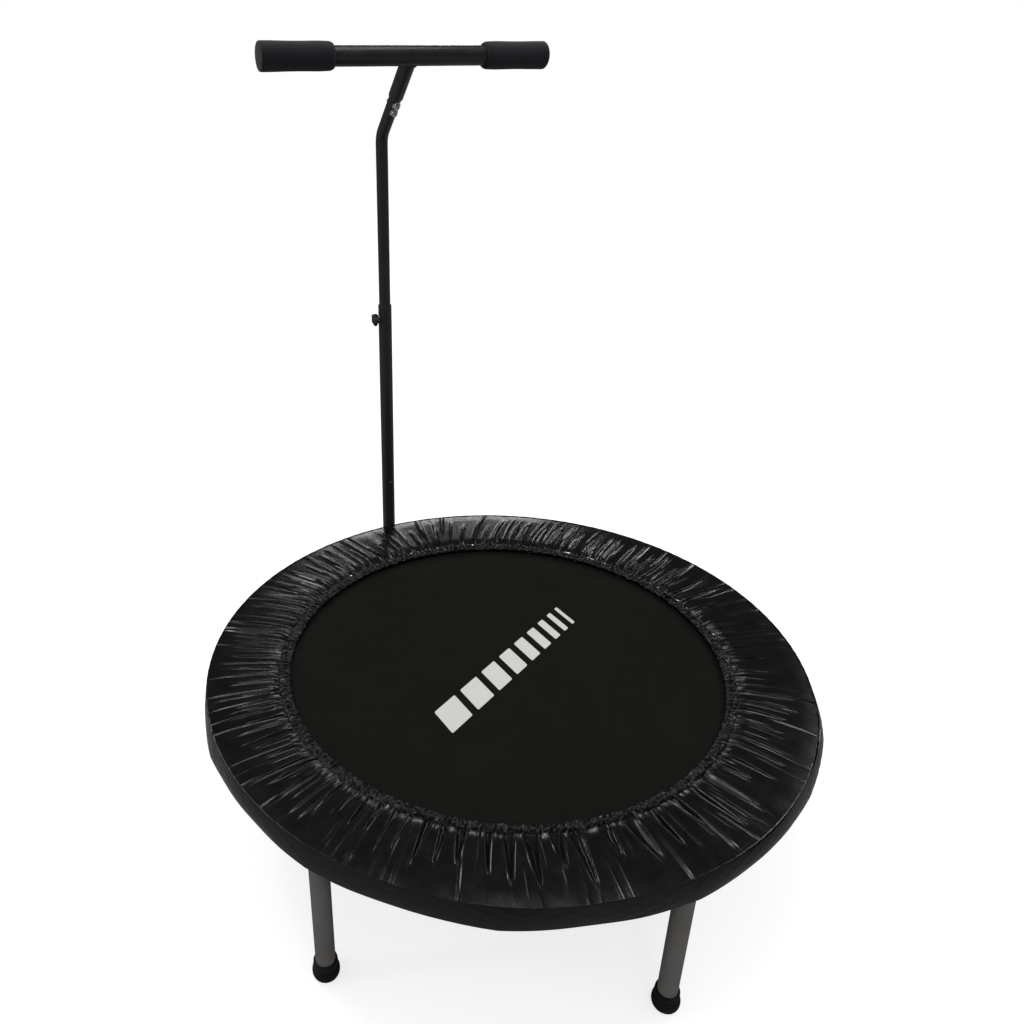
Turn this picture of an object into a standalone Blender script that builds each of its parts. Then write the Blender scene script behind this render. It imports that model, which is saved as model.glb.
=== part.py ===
"""Mini trampoline with a bolt-on T-handle. Metres, +Z up, feet on z = 0, the handle stands at +Y.

Bodies of the assembly: the round steel frame with its legs and handle base, the mat that moves
down on its springs, the telescoping upper handle, the clamping knob and the snap button.
"""

import math

import bmesh
import bpy
from mathutils import Matrix, Vector

# ---- driving dimensions, in metres ------------------------------------------------------------
GAP = 0.0003  # between neighbouring pieces that touch in the real object

RING_R = 0.469  # centre line of the frame tube
RING_Z = 0.2516
TUBE_R = 0.014  # frame tube and legs, 28 mm outside
TUBE_WALL = 0.0014
RING_STEPS = 48
LEG_COUNT = 6
LEG_TOP_Z = 0.2330
LEG_BORE_R = TUBE_R - TUBE_WALL
LEG_STUD_R = 0.0050
LEG_BOSS_R = 0.0125
LEG_STUD_TOP_Z = 0.2455
LEG_END_THICK = 0.0040  # the closed top of a leg tube
LEG_FOOT_Z = 0.0065  # lower end of the leg tube, inside the rubber foot
LEG_SIDES = 16
FOOT_TOP_Z = 0.0340

MAT_R = 0.3735
MAT_TOP_Z = 0.2542
MAT_THICK = 0.0020
MAT_EDGE_THICK = 0.0040
MAT_EDGE_WIDTH = 0.0300
MAT_EDGE_STEP = 0.0020
EYELET_R = 0.3650  # circle of the spring eyelets in the mat's edge band
EYELET_HOLE_R = 0.0030

SPRING_COUNT = 24
SPRING_WIRE_R = 0.0012
SPRING_COIL_R = 0.0060
SPRING_HOLE_R = 0.0026
SPRING_HOOK_DROP = 0.0075
SPRING_END = 0.0060  # straight wire between the mat or the frame tube and the coil
SPRING_TAPER = 0.0020

SKIRT_INNER_R = 0.3540
SKIRT_TOP_Z = 0.2676
SKIRT_HEM_Z = 0.2365
SKIRT_HEM_R = 0.4935
SKIRT_DROP_R = 0.4842  # the drop starts here, outside the frame tube
SKIRT_POST_DENT = 0.0062  # the hem is pressed in behind the handle post
SKIRT_DENT_FLAT = math.radians(8)
SKIRT_DENT_END = math.radians(22)

POST_Y = 0.5010  # axis of the handle post
OUTER_POST_R = 0.0127
OUTER_POST_BORE_R = 0.0112
INNER_POST_R = 0.0107
INNER_POST_BORE_R = 0.0095
POST_SIDES = 20
BASE_POST_BOTTOM_Z = 0.0850
BASE_POST_TOP_Z = 0.4000
LOWER_POST_BOTTOM_Z = 0.2150
LOWER_POST_TOP_Z = 0.7375
UPPER_POST_BOTTOM_Z = 0.5175
COLLAR_HEIGHT = 0.0080
COLLAR_CHAMFER = 0.0010
CAP_THICK = 0.0040
CAP_PLUG_LENGTH = 0.0100

BEND_Z = 1.0365
NECK_ANGLE = math.radians(45)
NECK_LENGTH = 0.1796  # from the bend to the cross tube's axis
BEND_RADIUS = 0.0320
SLEEVE_START = 0.0935  # along the neck, from the bend
SLEEVE_R = 0.0125
SPIGOT_START = 0.0560
SPIGOT_R = 0.0091
SPIGOT_BORE_R = 0.0072
NECK_BOLTS = {"lower": 0.0690, "upper": 0.0845}  # along the neck, from the bend

CROSS_R = 0.0149
CROSS_BORE_R = 0.0135
CROSS_HALF = 0.2380
GRIP_R = 0.0213
GRIP_LENGTH = 0.1150
GRIP_END_X = 0.2445
GRIP_BORE_R = CROSS_R + GAP
GRIP_INNER_ROUND = 0.0040
GRIP_OUTER_ROUND = 0.0060

BOLT_R = 0.0029  # M6
BOLT_HOLE_R = 0.0032
HEX_R = 0.0058  # across corners of an M6 head, over two
HEAD_HEIGHT = 0.0040
NUT_HEIGHT = 0.0050
FLANGE_R = 0.0074
FLANGE_HEIGHT = 0.0012
BASE_BOLT_HEIGHTS = {"lower": 0.1350, "upper": 0.1750}
SADDLE_BOTTOM_Z = 0.1150
SADDLE_TOP_Z = 0.1950
SADDLE_HALF_WIDTH = 0.0100
SADDLE_LEG_SIDE_Y = RING_R + 0.0080
SADDLE_POST_SIDE_Y = POST_Y - 0.0045
BOLT_TIP = 0.0030  # how far a bolt stands out of its nut

KNOB_Z = 0.7110
KNOB_R = 0.0118
KNOB_LOBE = 0.0016
KNOB_LOBES = 5
KNOB_LENGTH = 0.0090
KNOB_STEM_R = 0.0036
KNOB_BORE_R = 0.0040
BOSS_R = 0.0070
BOSS_FACE = 0.0138  # from the post's axis
WASHER_R = 0.0085
WASHER_THICK = 0.0010

BUTTON_Z = 0.3680
BUTTON_R = 0.0028
BUTTON_HOLE_R = 0.0032
BUTTON_FLANGE_R = 0.0045
BUTTON_FLANGE_IN = 0.0060  # these four are distances from the post's axis
BUTTON_FLANGE_OUT = 0.0074
BUTTON_SHOULDER = 0.0140
BUTTON_TIP = 0.0153

# The origin is on the floor under the middle of the whole object's box, so everything shifts by this.
BASE_BOLT_FACE_Y = POST_Y + INNER_POST_R + GAP + HEAD_HEIGHT
FRAME_SHIFT_Y = -(BASE_BOLT_FACE_Y - SKIRT_HEM_R) / 2

UP = Vector((0, 0, 1))
PLANE_NORMAL = Vector((1, 0, 0))  # every swept path lies in its local YZ plane


# ---- helpers ----------------------------------------------------------------------------------
def make_material(name, colour, roughness, metallic=0.0):
    material = bpy.data.materials.new(name)
    material.use_nodes = True
    shader = material.node_tree.nodes["Principled BSDF"]
    shader.inputs["Base Color"].default_value = (*colour, 1.0)
    shader.inputs["Roughness"].default_value = roughness
    shader.inputs["Metallic"].default_value = metallic
    return material


def make_empty(name, location, parent=None):
    empty = bpy.data.objects.new(name, None)
    empty.location = location
    empty.parent = parent
    bpy.context.scene.collection.objects.link(empty)
    return empty


def make_object(name, bm, material, parent, location=(0, 0, 0), rotation=(0, 0, 0)):
    """Turns a bmesh into a named object, smooth except at sharp edges."""
    mesh = bpy.data.meshes.new(name)
    bm.to_mesh(mesh)
    bm.free()
    mesh.shade_smooth()
    mesh.set_sharp_from_angle(angle=math.radians(40))
    mesh.materials.append(material)
    return place_mesh(name, mesh, parent, location, rotation)


def place_mesh(name, mesh, parent, location=(0, 0, 0), rotation=(0, 0, 0)):
    obj = bpy.data.objects.new(name, mesh)
    obj.location = location
    obj.rotation_euler = rotation
    obj.parent = parent
    bpy.context.scene.collection.objects.link(obj)
    return obj


def use_boolean(target, tool, operation):
    """Adds an exact Boolean with a hidden tool object."""
    tool.hide_render = True
    tool.display_type = "WIRE"
    modifier = target.modifiers.new(operation.title(), "BOOLEAN")
    modifier.operation = operation
    modifier.solver = "EXACT"
    modifier.object = tool


def turned(profile, steps):
    """A solid of revolution about Z from a closed loop of (radius, z) points."""
    bm = bmesh.new()
    points = [bm.verts.new((radius, 0, z)) for radius, z in profile]
    edges = [bm.edges.new((points[i - 1], points[i])) for i in range(len(points))]
    bmesh.ops.spin(
        bm, geom=points + edges, cent=(0, 0, 0), axis=UP, angle=math.tau, steps=steps, use_merge=True
    )
    bmesh.ops.remove_doubles(bm, verts=bm.verts, dist=1e-6)
    bmesh.ops.recalc_face_normals(bm, faces=bm.faces)
    return bm


def swept(path, radii, sides):
    """Rings of the given radii along a path in one plane, as one closed solid."""
    bm = bmesh.new()
    path = [Vector(point) for point in path]
    rings = []
    for i, centre in enumerate(path):
        before = path[max(i - 1, 0)]
        after = path[min(i + 1, len(path) - 1)]
        forward = (after - before).normalized()
        across = PLANE_NORMAL.copy()
        other = forward.cross(across)
        ring = []
        for k in range(sides):
            angle = math.tau * (k + 0.5) / sides
            offset = across * math.cos(angle) + other * math.sin(angle)
            ring.append(bm.verts.new(centre + offset * radii[i]))
        rings.append(ring)
    for first, second in zip(rings, rings[1:]):
        for k in range(sides):
            bm.faces.new((first[k - 1], first[k], second[k], second[k - 1]))
    bm.faces.new(rings[0])
    bm.faces.new(rings[-1])
    bmesh.ops.recalc_face_normals(bm, faces=bm.faces)
    return bm


def cylinder(radius, start, end, sides):
    """A closed cylinder along local Z between two heights."""
    return turned([(0, start), (radius, start), (radius, end), (0, end)], sides)


def aim(direction):
    """Euler rotation that turns local Z to a direction."""
    return Vector(direction).to_track_quat("Z", "Y").to_euler()


def polar(radius, angle, z=0.0):
    return Vector((radius * math.cos(angle), radius * math.sin(angle), z))


def merged(meshes_at):
    """Joins separate cutter shapes, each a bmesh and a matrix, in one bmesh."""
    joined = bmesh.new()
    for bm, matrix in meshes_at:
        bm.transform(matrix)
        mesh = bpy.data.meshes.new("shape")
        bm.to_mesh(mesh)
        bm.free()
        joined.from_mesh(mesh)
        bpy.data.meshes.remove(mesh)
    return joined


# ---- frame ------------------------------------------------------------------------------------
def spring_angles():
    return [math.tau * (i + 0.5) / SPRING_COUNT for i in range(SPRING_COUNT)]


def leg_angles():
    """Counted from the handle's leg at +Y, which is the first."""
    return [math.pi / 2 + math.tau * i / LEG_COUNT for i in range(LEG_COUNT)]


def ring_surface(radius, sides):
    circle = []
    for k in range(sides):
        angle = math.tau * (k + 0.5) / sides
        circle.append((RING_R + radius * math.cos(angle), RING_Z + radius * math.sin(angle)))
    return turned(circle, RING_STEPS)


def build_ring(root, steel):
    """The hollow frame tube with a screw socket for each leg and a hole for each spring hook."""
    bore = ring_surface(TUBE_R - TUBE_WALL, 8)
    bmesh.ops.reverse_faces(bore, faces=bore.faces)
    identity = Matrix.Identity(4)
    tube = merged([(ring_surface(TUBE_R, 12), identity), (bore, identity)])
    ring = make_object("frame_ring", tube, steel, root)
    bosses = []
    for angle in leg_angles():
        boss = cylinder(LEG_BOSS_R, LEG_TOP_Z, RING_Z - 0.0005, 14)
        bosses.append((boss, Matrix.Translation(polar(RING_R, angle))))
    use_boolean(ring, make_object("leg_boss_tool", merged(bosses), steel, root), "UNION")
    holes = []
    for angle in leg_angles():
        socket = cylinder(LEG_STUD_R + GAP, LEG_TOP_Z - 0.005, LEG_STUD_TOP_Z + 0.0005, 10)
        holes.append((socket, Matrix.Translation(polar(RING_R, angle))))
    for angle in spring_angles():
        hole = cylinder(SPRING_HOLE_R, -0.006, 0.006, 6)
        turn = polar(1, angle).to_track_quat("Z", "Y").to_matrix().to_4x4()
        holes.append((hole, Matrix.Translation(polar(RING_R - TUBE_R, angle, RING_Z)) @ turn))
    use_boolean(ring, make_object("ring_hole_tool", merged(holes), steel, root), "DIFFERENCE")
    return ring


def leg_mesh_profile():
    """Half section of a leg: an open tube with a threaded stud on its closed top."""
    top = LEG_TOP_Z - GAP
    return [
        (0, LEG_STUD_TOP_Z - 0.0010),
        (LEG_STUD_R, LEG_STUD_TOP_Z - 0.0010),
        (LEG_STUD_R, top),
        (TUBE_R, top),
        (TUBE_R, LEG_FOOT_Z),
        (LEG_BORE_R, LEG_FOOT_Z),
        (LEG_BORE_R, top - LEG_END_THICK),
        (0, top - LEG_END_THICK),
    ]


def foot_profile():
    """Half section of the rubber foot: a cup with a domed sole, a bulge, a waist and a collar."""
    cup = TUBE_R + GAP
    floor = LEG_FOOT_Z - GAP
    return [
        (0, 0),
        (0.0100, 0),
        (0.0150, 0.0020),
        (0.0188, 0.0065),
        (0.0197, 0.0120),
        (0.0186, 0.0180),
        (0.0168, 0.0210),
        (0.0172, 0.0300),
        (0.0164, FOOT_TOP_Z),
        (cup, FOOT_TOP_Z),
        (cup, floor),
        (0, floor),
    ]


def build_legs(root, grey, rubber):
    leg_mesh = None
    foot_mesh = None
    for number, angle in enumerate(leg_angles(), 1):
        spot = polar(RING_R, angle)
        turn = (0, 0, angle - math.pi / 2)
        if number == 1:
            leg = make_object("leg_1", turned(leg_mesh_profile(), LEG_SIDES), grey, root, spot, turn)
            use_boolean(leg, base_bolt_cutter("leg_bolt_tool", root, grey), "DIFFERENCE")
            foot = make_object("foot_1", turned(foot_profile(), LEG_SIDES), rubber, root, spot, turn)
            foot_mesh = foot.data
        elif number == 2:
            leg = make_object("leg_2", turned(leg_mesh_profile(), LEG_SIDES), grey, root, spot, turn)
            leg_mesh = leg.data
            place_mesh("foot_2", foot_mesh, root, spot, turn)
        else:
            place_mesh(f"leg_{number}", leg_mesh, root, spot, turn)
            place_mesh(f"foot_{number}", foot_mesh, root, spot, turn)


# ---- mat, springs and skirt -------------------------------------------------------------------
def build_mat(root, cloth):
    """A round mat with a thicker edge band that holds the spring eyelets. Its origin is its centre."""
    band = MAT_R - MAT_EDGE_WIDTH
    profile = [
        (0, 0),
        (MAT_R, 0),
        (MAT_R, -MAT_EDGE_THICK),
        (band, -MAT_EDGE_THICK),
        (band - MAT_EDGE_STEP, -MAT_THICK),
        (0, -MAT_THICK),
    ]
    mat = make_object("mat", turned(profile, RING_STEPS), cloth, root, (0, 0, MAT_TOP_Z))
    holes = []
    for angle in spring_angles():
        holes.append((cylinder(EYELET_HOLE_R, -0.010, 0.010, 6), Matrix.Translation(polar(EYELET_R, angle))))
    use_boolean(mat, make_object("eyelet_tool", merged(holes), cloth, root, (0, 0, MAT_TOP_Z)), "DIFFERENCE")


def spring_path():
    """Local Y points outwards from the ring's centre. A hook at each end turns down."""
    wire_z = MAT_TOP_Z + SPRING_WIRE_R + GAP - RING_Z
    inner_hook = EYELET_R
    inner_shoulder = MAT_R + SPRING_END
    outer_shoulder = RING_R - TUBE_R - SPRING_END
    outer_hook = RING_R - 0.004
    coil_in = inner_shoulder + SPRING_TAPER
    coil_out = outer_shoulder - SPRING_TAPER
    path = [
        (0, inner_hook, -SPRING_HOOK_DROP + wire_z),
        (0, inner_hook, wire_z),
        (0, inner_shoulder, wire_z),
        (0, coil_in, 0),
        (0, coil_out, 0),
        (0, outer_shoulder, 0),
        (0, outer_hook, 0),
        (0, outer_hook, -SPRING_HOOK_DROP),
    ]
    radii = [SPRING_WIRE_R] * 3 + [SPRING_COIL_R] * 2 + [SPRING_WIRE_R] * 3
    return path, radii


def build_springs(root, zinc):
    path, radii = spring_path()
    mesh = None
    for number, angle in enumerate(spring_angles(), 1):
        name = f"spring_{number:02d}"
        spot = (0, 0, RING_Z)
        turn = (0, 0, angle - math.pi / 2)
        if mesh is None:
            mesh = make_object(name, swept(path, radii, 6), zinc, root, spot, turn).data
        else:
            place_mesh(name, mesh, root, spot, turn)


def dent_depth(angle):
    """How far the skirt's drop is pressed in at an angle, all of it behind the handle post."""
    away = abs((angle - math.pi / 2 + math.pi) % math.tau - math.pi)
    fade = min(max((SKIRT_DENT_END - away) / (SKIRT_DENT_END - SKIRT_DENT_FLAT), 0), 1)
    return SKIRT_POST_DENT * fade * fade * (3 - 2 * fade)


def build_skirt(root, vinyl):
    """The padded ring cover: a flat top over the springs and a drop outside the frame tube."""
    profile = [
        (SKIRT_INNER_R, 0.2600),
        (SKIRT_INNER_R + 0.0030, 0.2668),
        (0.4200, SKIRT_TOP_Z),
        (0.4810, SKIRT_TOP_Z),
        (0.4853, 0.2664),
        (SKIRT_HEM_R, SKIRT_HEM_Z),
        (0.4900, SKIRT_HEM_Z),
        (0.4845, 0.2560),
        (0.4826, 0.2625),
        (0.4765, 0.2661),
        (0.4620, 0.2661),
        (0.4530, 0.2596),
        (0.4200, 0.2592),
        (SKIRT_INNER_R + 0.0030, 0.2592),
    ]
    bm = turned(profile, RING_STEPS)
    for vert in bm.verts:
        radius = vert.co.xy.length
        if radius > SKIRT_DROP_R:
            angle = math.atan2(vert.co.y, vert.co.x)
            share = (radius - SKIRT_DROP_R) / (SKIRT_HEM_R - SKIRT_DROP_R)
            pressed = radius - dent_depth(angle) * share
            vert.co.xy *= pressed / radius
    make_object("skirt", bm, vinyl, root)


# ---- handle base and posts --------------------------------------------------------------------
def base_bolt_cutter(name, root, material):
    """Two clearance holes along Y through the first leg, the saddle and the base post."""
    along_y = Vector((0, 1, 0)).to_track_quat("Z", "Y").to_matrix().to_4x4()
    holes = []
    for z in BASE_BOLT_HEIGHTS.values():
        hole = cylinder(BOLT_HOLE_R, RING_R - 0.030, POST_Y + 0.030, 8)
        holes.append((hole, Matrix.Translation((0, 0, z)) @ along_y))
    return make_object(name, merged(holes), material, root)


def hex_outline(radius):
    return [polar(radius, math.tau * k / 6) for k in range(6)]


def prism(outline, start, end):
    """A flat outline extruded along local Z."""
    bm = bmesh.new()
    face = bm.faces.new([bm.verts.new((point.x, point.y, start)) for point in outline])
    raised = bmesh.ops.extrude_face_region(bm, geom=[face])["geom"]
    top = [item for item in raised if isinstance(item, bmesh.types.BMVert)]
    bmesh.ops.translate(bm, verts=top, vec=(0, 0, end - start))
    bmesh.ops.recalc_face_normals(bm, faces=bm.faces)
    return bm


def build_bolt(name, root, zinc, spot, direction, head_at, tip_at):
    """A hex bolt along a direction: the head starts at head_at and the shank ends at tip_at."""
    rotation = aim(direction)
    head = prism(hex_outline(HEX_R), head_at, head_at + HEAD_HEIGHT)
    bolt = make_object(name, head, zinc, root, spot, rotation)
    rod = cylinder(BOLT_R, tip_at, head_at + 0.001, 10)
    shank = make_object(f"{name}_shank_tool", rod, zinc, root, spot, rotation)
    use_boolean(bolt, shank, "UNION")


def build_nut(name, root, zinc, spot, direction, face_at, flange=False):
    """A hex nut whose bearing face is at face_at and which extends along the direction."""
    rotation = aim(direction)
    start = face_at + (FLANGE_HEIGHT / 2 if flange else 0)
    body = prism(hex_outline(HEX_R), start, face_at + NUT_HEIGHT)
    nut = make_object(name, body, zinc, root, spot, rotation)
    if flange:
        disc = cylinder(FLANGE_R, face_at, face_at + FLANGE_HEIGHT, 16)
        use_boolean(nut, make_object(f"{name}_flange_tool", disc, zinc, root, spot, rotation), "UNION")
    hole = cylinder(BOLT_HOLE_R, face_at - 0.002, face_at + NUT_HEIGHT + 0.002, 10)
    use_boolean(nut, make_object(f"{name}_bore_tool", hole, zinc, root, spot, rotation), "DIFFERENCE")


def build_base(root, black, plastic, zinc):
    """The handle's foot tube, its saddle against the first leg and the two bolts through both."""
    post_spot = (0, POST_Y, 0)
    shoulder = LOWER_POST_BOTTOM_Z - GAP
    profile = [
        (INNER_POST_R, BASE_POST_BOTTOM_Z),
        (INNER_POST_R, shoulder - COLLAR_HEIGHT),
        (OUTER_POST_R, shoulder - COLLAR_HEIGHT + COLLAR_CHAMFER),
        (OUTER_POST_R, shoulder),
        (INNER_POST_R, shoulder),
        (INNER_POST_R, BASE_POST_TOP_Z),
        (INNER_POST_BORE_R, BASE_POST_TOP_Z),
        (INNER_POST_BORE_R, BASE_POST_BOTTOM_Z),
    ]
    post = make_object("base_post", turned(profile, POST_SIDES), black, root, post_spot)
    use_boolean(post, base_bolt_cutter("base_post_bolt_tool", root, black), "DIFFERENCE")
    use_boolean(post, button_cutter("base_post_button_tool", root, black), "DIFFERENCE")

    cap = [
        (0, BASE_POST_BOTTOM_Z - CAP_THICK),
        (OUTER_POST_R, BASE_POST_BOTTOM_Z - CAP_THICK),
        (OUTER_POST_R, BASE_POST_BOTTOM_Z - GAP),
        (INNER_POST_BORE_R - GAP, BASE_POST_BOTTOM_Z - GAP),
        (INNER_POST_BORE_R - GAP, BASE_POST_BOTTOM_Z + CAP_PLUG_LENGTH),
        (0, BASE_POST_BOTTOM_Z + CAP_PLUG_LENGTH),
    ]
    make_object("base_post_cap", turned(cap, POST_SIDES), plastic, root, post_spot)

    outline = [
        Vector((-SADDLE_HALF_WIDTH, SADDLE_LEG_SIDE_Y, 0)),
        Vector((SADDLE_HALF_WIDTH, SADDLE_LEG_SIDE_Y, 0)),
        Vector((SADDLE_HALF_WIDTH, SADDLE_POST_SIDE_Y, 0)),
        Vector((-SADDLE_HALF_WIDTH, SADDLE_POST_SIDE_Y, 0)),
    ]
    saddle = make_object("base_saddle", prism(outline, SADDLE_BOTTOM_Z, SADDLE_TOP_Z), plastic, root)
    for name, y, radius in (("leg", RING_R, TUBE_R), ("post", POST_Y, INNER_POST_R)):
        bed = cylinder(radius + GAP, SADDLE_BOTTOM_Z - 0.01, SADDLE_TOP_Z + 0.01, 24)
        use_boolean(saddle, make_object(f"saddle_{name}_tool", bed, plastic, root, (0, y, 0)), "DIFFERENCE")
    use_boolean(saddle, base_bolt_cutter("saddle_bolt_tool", root, plastic), "DIFFERENCE")

    for place, z in BASE_BOLT_HEIGHTS.items():
        nut_face = -(RING_R - TUBE_R - GAP)
        tip = RING_R - TUBE_R - GAP - NUT_HEIGHT - BOLT_TIP
        build_bolt(f"base_bolt_{place}", root, zinc, (0, 0, z), (0, 1, 0), POST_Y + INNER_POST_R + GAP, tip)
        build_nut(f"base_nut_{place}", root, zinc, (0, 0, z), (0, -1, 0), nut_face)


def button_cutter(name, root, material):
    """The snap button's hole through the user's side of both tubes."""
    hole = cylinder(BUTTON_HOLE_R, 0.0070, 0.0200, 10)
    return make_object(name, hole, material, root, (0, POST_Y, BUTTON_Z), aim((0, -1, 0)))


def build_snap_button(root, zinc):
    """A flanged pin that pops out through both tubes. Its origin is on the post's axis."""
    profile = [
        (0, BUTTON_FLANGE_IN),
        (BUTTON_FLANGE_R, BUTTON_FLANGE_IN),
        (BUTTON_FLANGE_R, BUTTON_FLANGE_OUT),
        (BUTTON_R, BUTTON_FLANGE_OUT),
        (BUTTON_R, BUTTON_SHOULDER),
        (0.0020, BUTTON_TIP - 0.0003),
        (0, BUTTON_TIP),
    ]
    make_object("snap_button", turned(profile, 12), zinc, root, (0, POST_Y, BUTTON_Z), aim((0, -1, 0)))


def build_lower_post(root, black):
    profile = [
        (OUTER_POST_R, LOWER_POST_BOTTOM_Z),
        (OUTER_POST_R, LOWER_POST_TOP_Z),
        (OUTER_POST_BORE_R, LOWER_POST_TOP_Z),
        (OUTER_POST_BORE_R, LOWER_POST_BOTTOM_Z),
    ]
    post = make_object("lower_post", turned(profile, POST_SIDES), black, root, (0, POST_Y, 0))
    knob_spot = (0, POST_Y, KNOB_Z)
    boss = cylinder(BOSS_R, OUTER_POST_BORE_R + 0.0007, BOSS_FACE, 14)
    outward = aim((-1, 0, 0))
    use_boolean(post, make_object("knob_boss_tool", boss, black, root, knob_spot, outward), "UNION")
    bore = cylinder(KNOB_BORE_R, OUTER_POST_BORE_R - 0.0040, BOSS_FACE + 0.0040, 12)
    use_boolean(post, make_object("knob_bore_tool", bore, black, root, knob_spot, outward), "DIFFERENCE")
    use_boolean(post, button_cutter("lower_post_button_tool", root, black), "DIFFERENCE")


def build_knob(root, plastic, zinc):
    """The lobed clamping knob with its screw, and the washer that travels with it."""
    spot = (0, POST_Y, KNOB_Z)
    outward = aim((-1, 0, 0))
    washer_face = BOSS_FACE + GAP
    hole = KNOB_STEM_R + GAP
    washer = [
        (hole, washer_face),
        (WASHER_R, washer_face),
        (WASHER_R, washer_face + WASHER_THICK),
        (hole, washer_face + WASHER_THICK),
    ]
    make_object("knob_washer", turned(washer, 16), zinc, root, spot, outward)

    outline = []
    for k in range(KNOB_LOBES * 6):
        angle = math.tau * k / (KNOB_LOBES * 6)
        outline.append(polar(KNOB_R + KNOB_LOBE * math.cos(KNOB_LOBES * angle) - KNOB_LOBE / 2, angle))
    head_face = washer_face + WASHER_THICK + GAP
    head = prism(outline, head_face, head_face + KNOB_LENGTH)
    knob = make_object("knob", head, plastic, root, spot, outward)
    stem = cylinder(KNOB_STEM_R, INNER_POST_R + 0.0004, head_face + 0.001, 12)
    use_boolean(knob, make_object("knob_stem_tool", stem, plastic, root, spot, outward), "UNION")


# ---- upper handle -----------------------------------------------------------------------------
def neck_point(along, aside=0.0):
    """A point of the inclined neck, relative to the post's axis at z = 0."""
    y = -math.sin(NECK_ANGLE) * along - math.cos(NECK_ANGLE) * aside
    z = BEND_Z + math.cos(NECK_ANGLE) * along - math.sin(NECK_ANGLE) * aside
    return Vector((0, y, z))


def bent_centre_line():
    """The upper post's centre line: straight, a rounded bend, then the inclined neck."""
    setback = BEND_RADIUS * math.tan(NECK_ANGLE / 2)
    points = [Vector((0, 0, UPPER_POST_BOTTOM_Z))]
    steps = 5
    for k in range(steps + 1):
        angle = NECK_ANGLE * k / steps
        y = -BEND_RADIUS * (1 - math.cos(angle))
        z = BEND_Z - setback + BEND_RADIUS * math.sin(angle)
        points.append(Vector((0, y, z)))
    points.append(neck_point(SLEEVE_START - 0.0005))
    return points


def build_upper_post(handle, black):
    """A bent tube that slides in the lower post. Its bore is cut with a slightly longer core."""
    line = bent_centre_line()
    post = make_object("upper_post", swept(line, [INNER_POST_R] * len(line), POST_SIDES), black, handle)
    core_line = [line[0] - 0.01 * UP, *line[1:-1], neck_point(SLEEVE_START + 0.01)]
    core = swept(core_line, [INNER_POST_BORE_R] * len(line), POST_SIDES)
    use_boolean(post, make_object("upper_post_core_tool", core, black, handle), "DIFFERENCE")
    use_boolean(post, neck_bolt_cutter("upper_post_bolt_tool", handle, black), "DIFFERENCE")


def neck_direction():
    return Vector((0, -math.sin(NECK_ANGLE), math.cos(NECK_ANGLE)))


def user_side():
    """Across the neck, towards the user and down."""
    return Vector((0, -math.cos(NECK_ANGLE), -math.sin(NECK_ANGLE)))


def neck_bolt_cutter(name, handle, material):
    turn = user_side().to_track_quat("Z", "Y").to_matrix().to_4x4()
    holes = []
    for along in NECK_BOLTS.values():
        holes.append((cylinder(BOLT_HOLE_R, -0.030, 0.030, 8), Matrix.Translation(neck_point(along)) @ turn))
    return make_object(name, merged(holes), material, handle)


def build_t_bar(handle, black):
    """The cross tube with its welded sleeve and the spigot that enters the bent post."""
    centre = neck_point(NECK_LENGTH)
    along_x = aim((1, 0, 0))
    down_neck = aim(-neck_direction())
    bar = make_object("t_bar", cylinder(CROSS_R, -CROSS_HALF, CROSS_HALF, 24), black, handle, centre, along_x)
    sleeve = turned(
        [
            (0, 0.004),
            (SLEEVE_R, 0.004),
            (SLEEVE_R, NECK_LENGTH - SLEEVE_START),
            (SPIGOT_R, NECK_LENGTH - SLEEVE_START),
            (SPIGOT_R, NECK_LENGTH - SPIGOT_START),
            (0, NECK_LENGTH - SPIGOT_START),
        ],
        POST_SIDES,
    )
    use_boolean(bar, make_object("sleeve_tool", sleeve, black, handle, centre, down_neck), "UNION")
    bore = cylinder(CROSS_BORE_R, -CROSS_HALF - 0.01, CROSS_HALF + 0.01, 20)
    use_boolean(bar, make_object("cross_bore_tool", bore, black, handle, centre, along_x), "DIFFERENCE")
    spigot_bore = cylinder(SPIGOT_BORE_R, 0.002, NECK_LENGTH - SPIGOT_START + 0.01, 14)
    tool = make_object("spigot_bore_tool", spigot_bore, black, handle, centre, down_neck)
    use_boolean(bar, tool, "DIFFERENCE")
    use_boolean(bar, neck_bolt_cutter("t_bar_bolt_tool", handle, black), "DIFFERENCE")


def build_grips(handle, foam):
    """A foam tube with a closed, rounded outer end over each end of the cross tube."""
    centre = neck_point(NECK_LENGTH)
    inner_end = GRIP_END_X - GRIP_LENGTH
    profile = [
        (GRIP_BORE_R, inner_end),
        (GRIP_R - GRIP_INNER_ROUND, inner_end),
        (GRIP_R, inner_end + GRIP_INNER_ROUND),
        (GRIP_R, GRIP_END_X - GRIP_OUTER_ROUND),
        (GRIP_R - GRIP_OUTER_ROUND, GRIP_END_X),
        (0, GRIP_END_X),
        (0, CROSS_HALF + GAP),
        (GRIP_BORE_R, CROSS_HALF + GAP),
    ]
    for name, side in (("grip_left", -1), ("grip_right", 1)):
        make_object(name, turned(profile, 24), foam, handle, centre, aim((side, 0, 0)))


def build_neck_fasteners(handle, zinc):
    clear = INNER_POST_R + GAP
    tip = -clear - NUT_HEIGHT - BOLT_TIP
    for place, along in NECK_BOLTS.items():
        spot = neck_point(along)
        build_bolt(f"neck_bolt_{place}", handle, zinc, spot, -user_side(), clear, tip)
        build_nut(f"neck_nut_{place}", handle, zinc, spot, user_side(), clear, flange=True)


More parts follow.
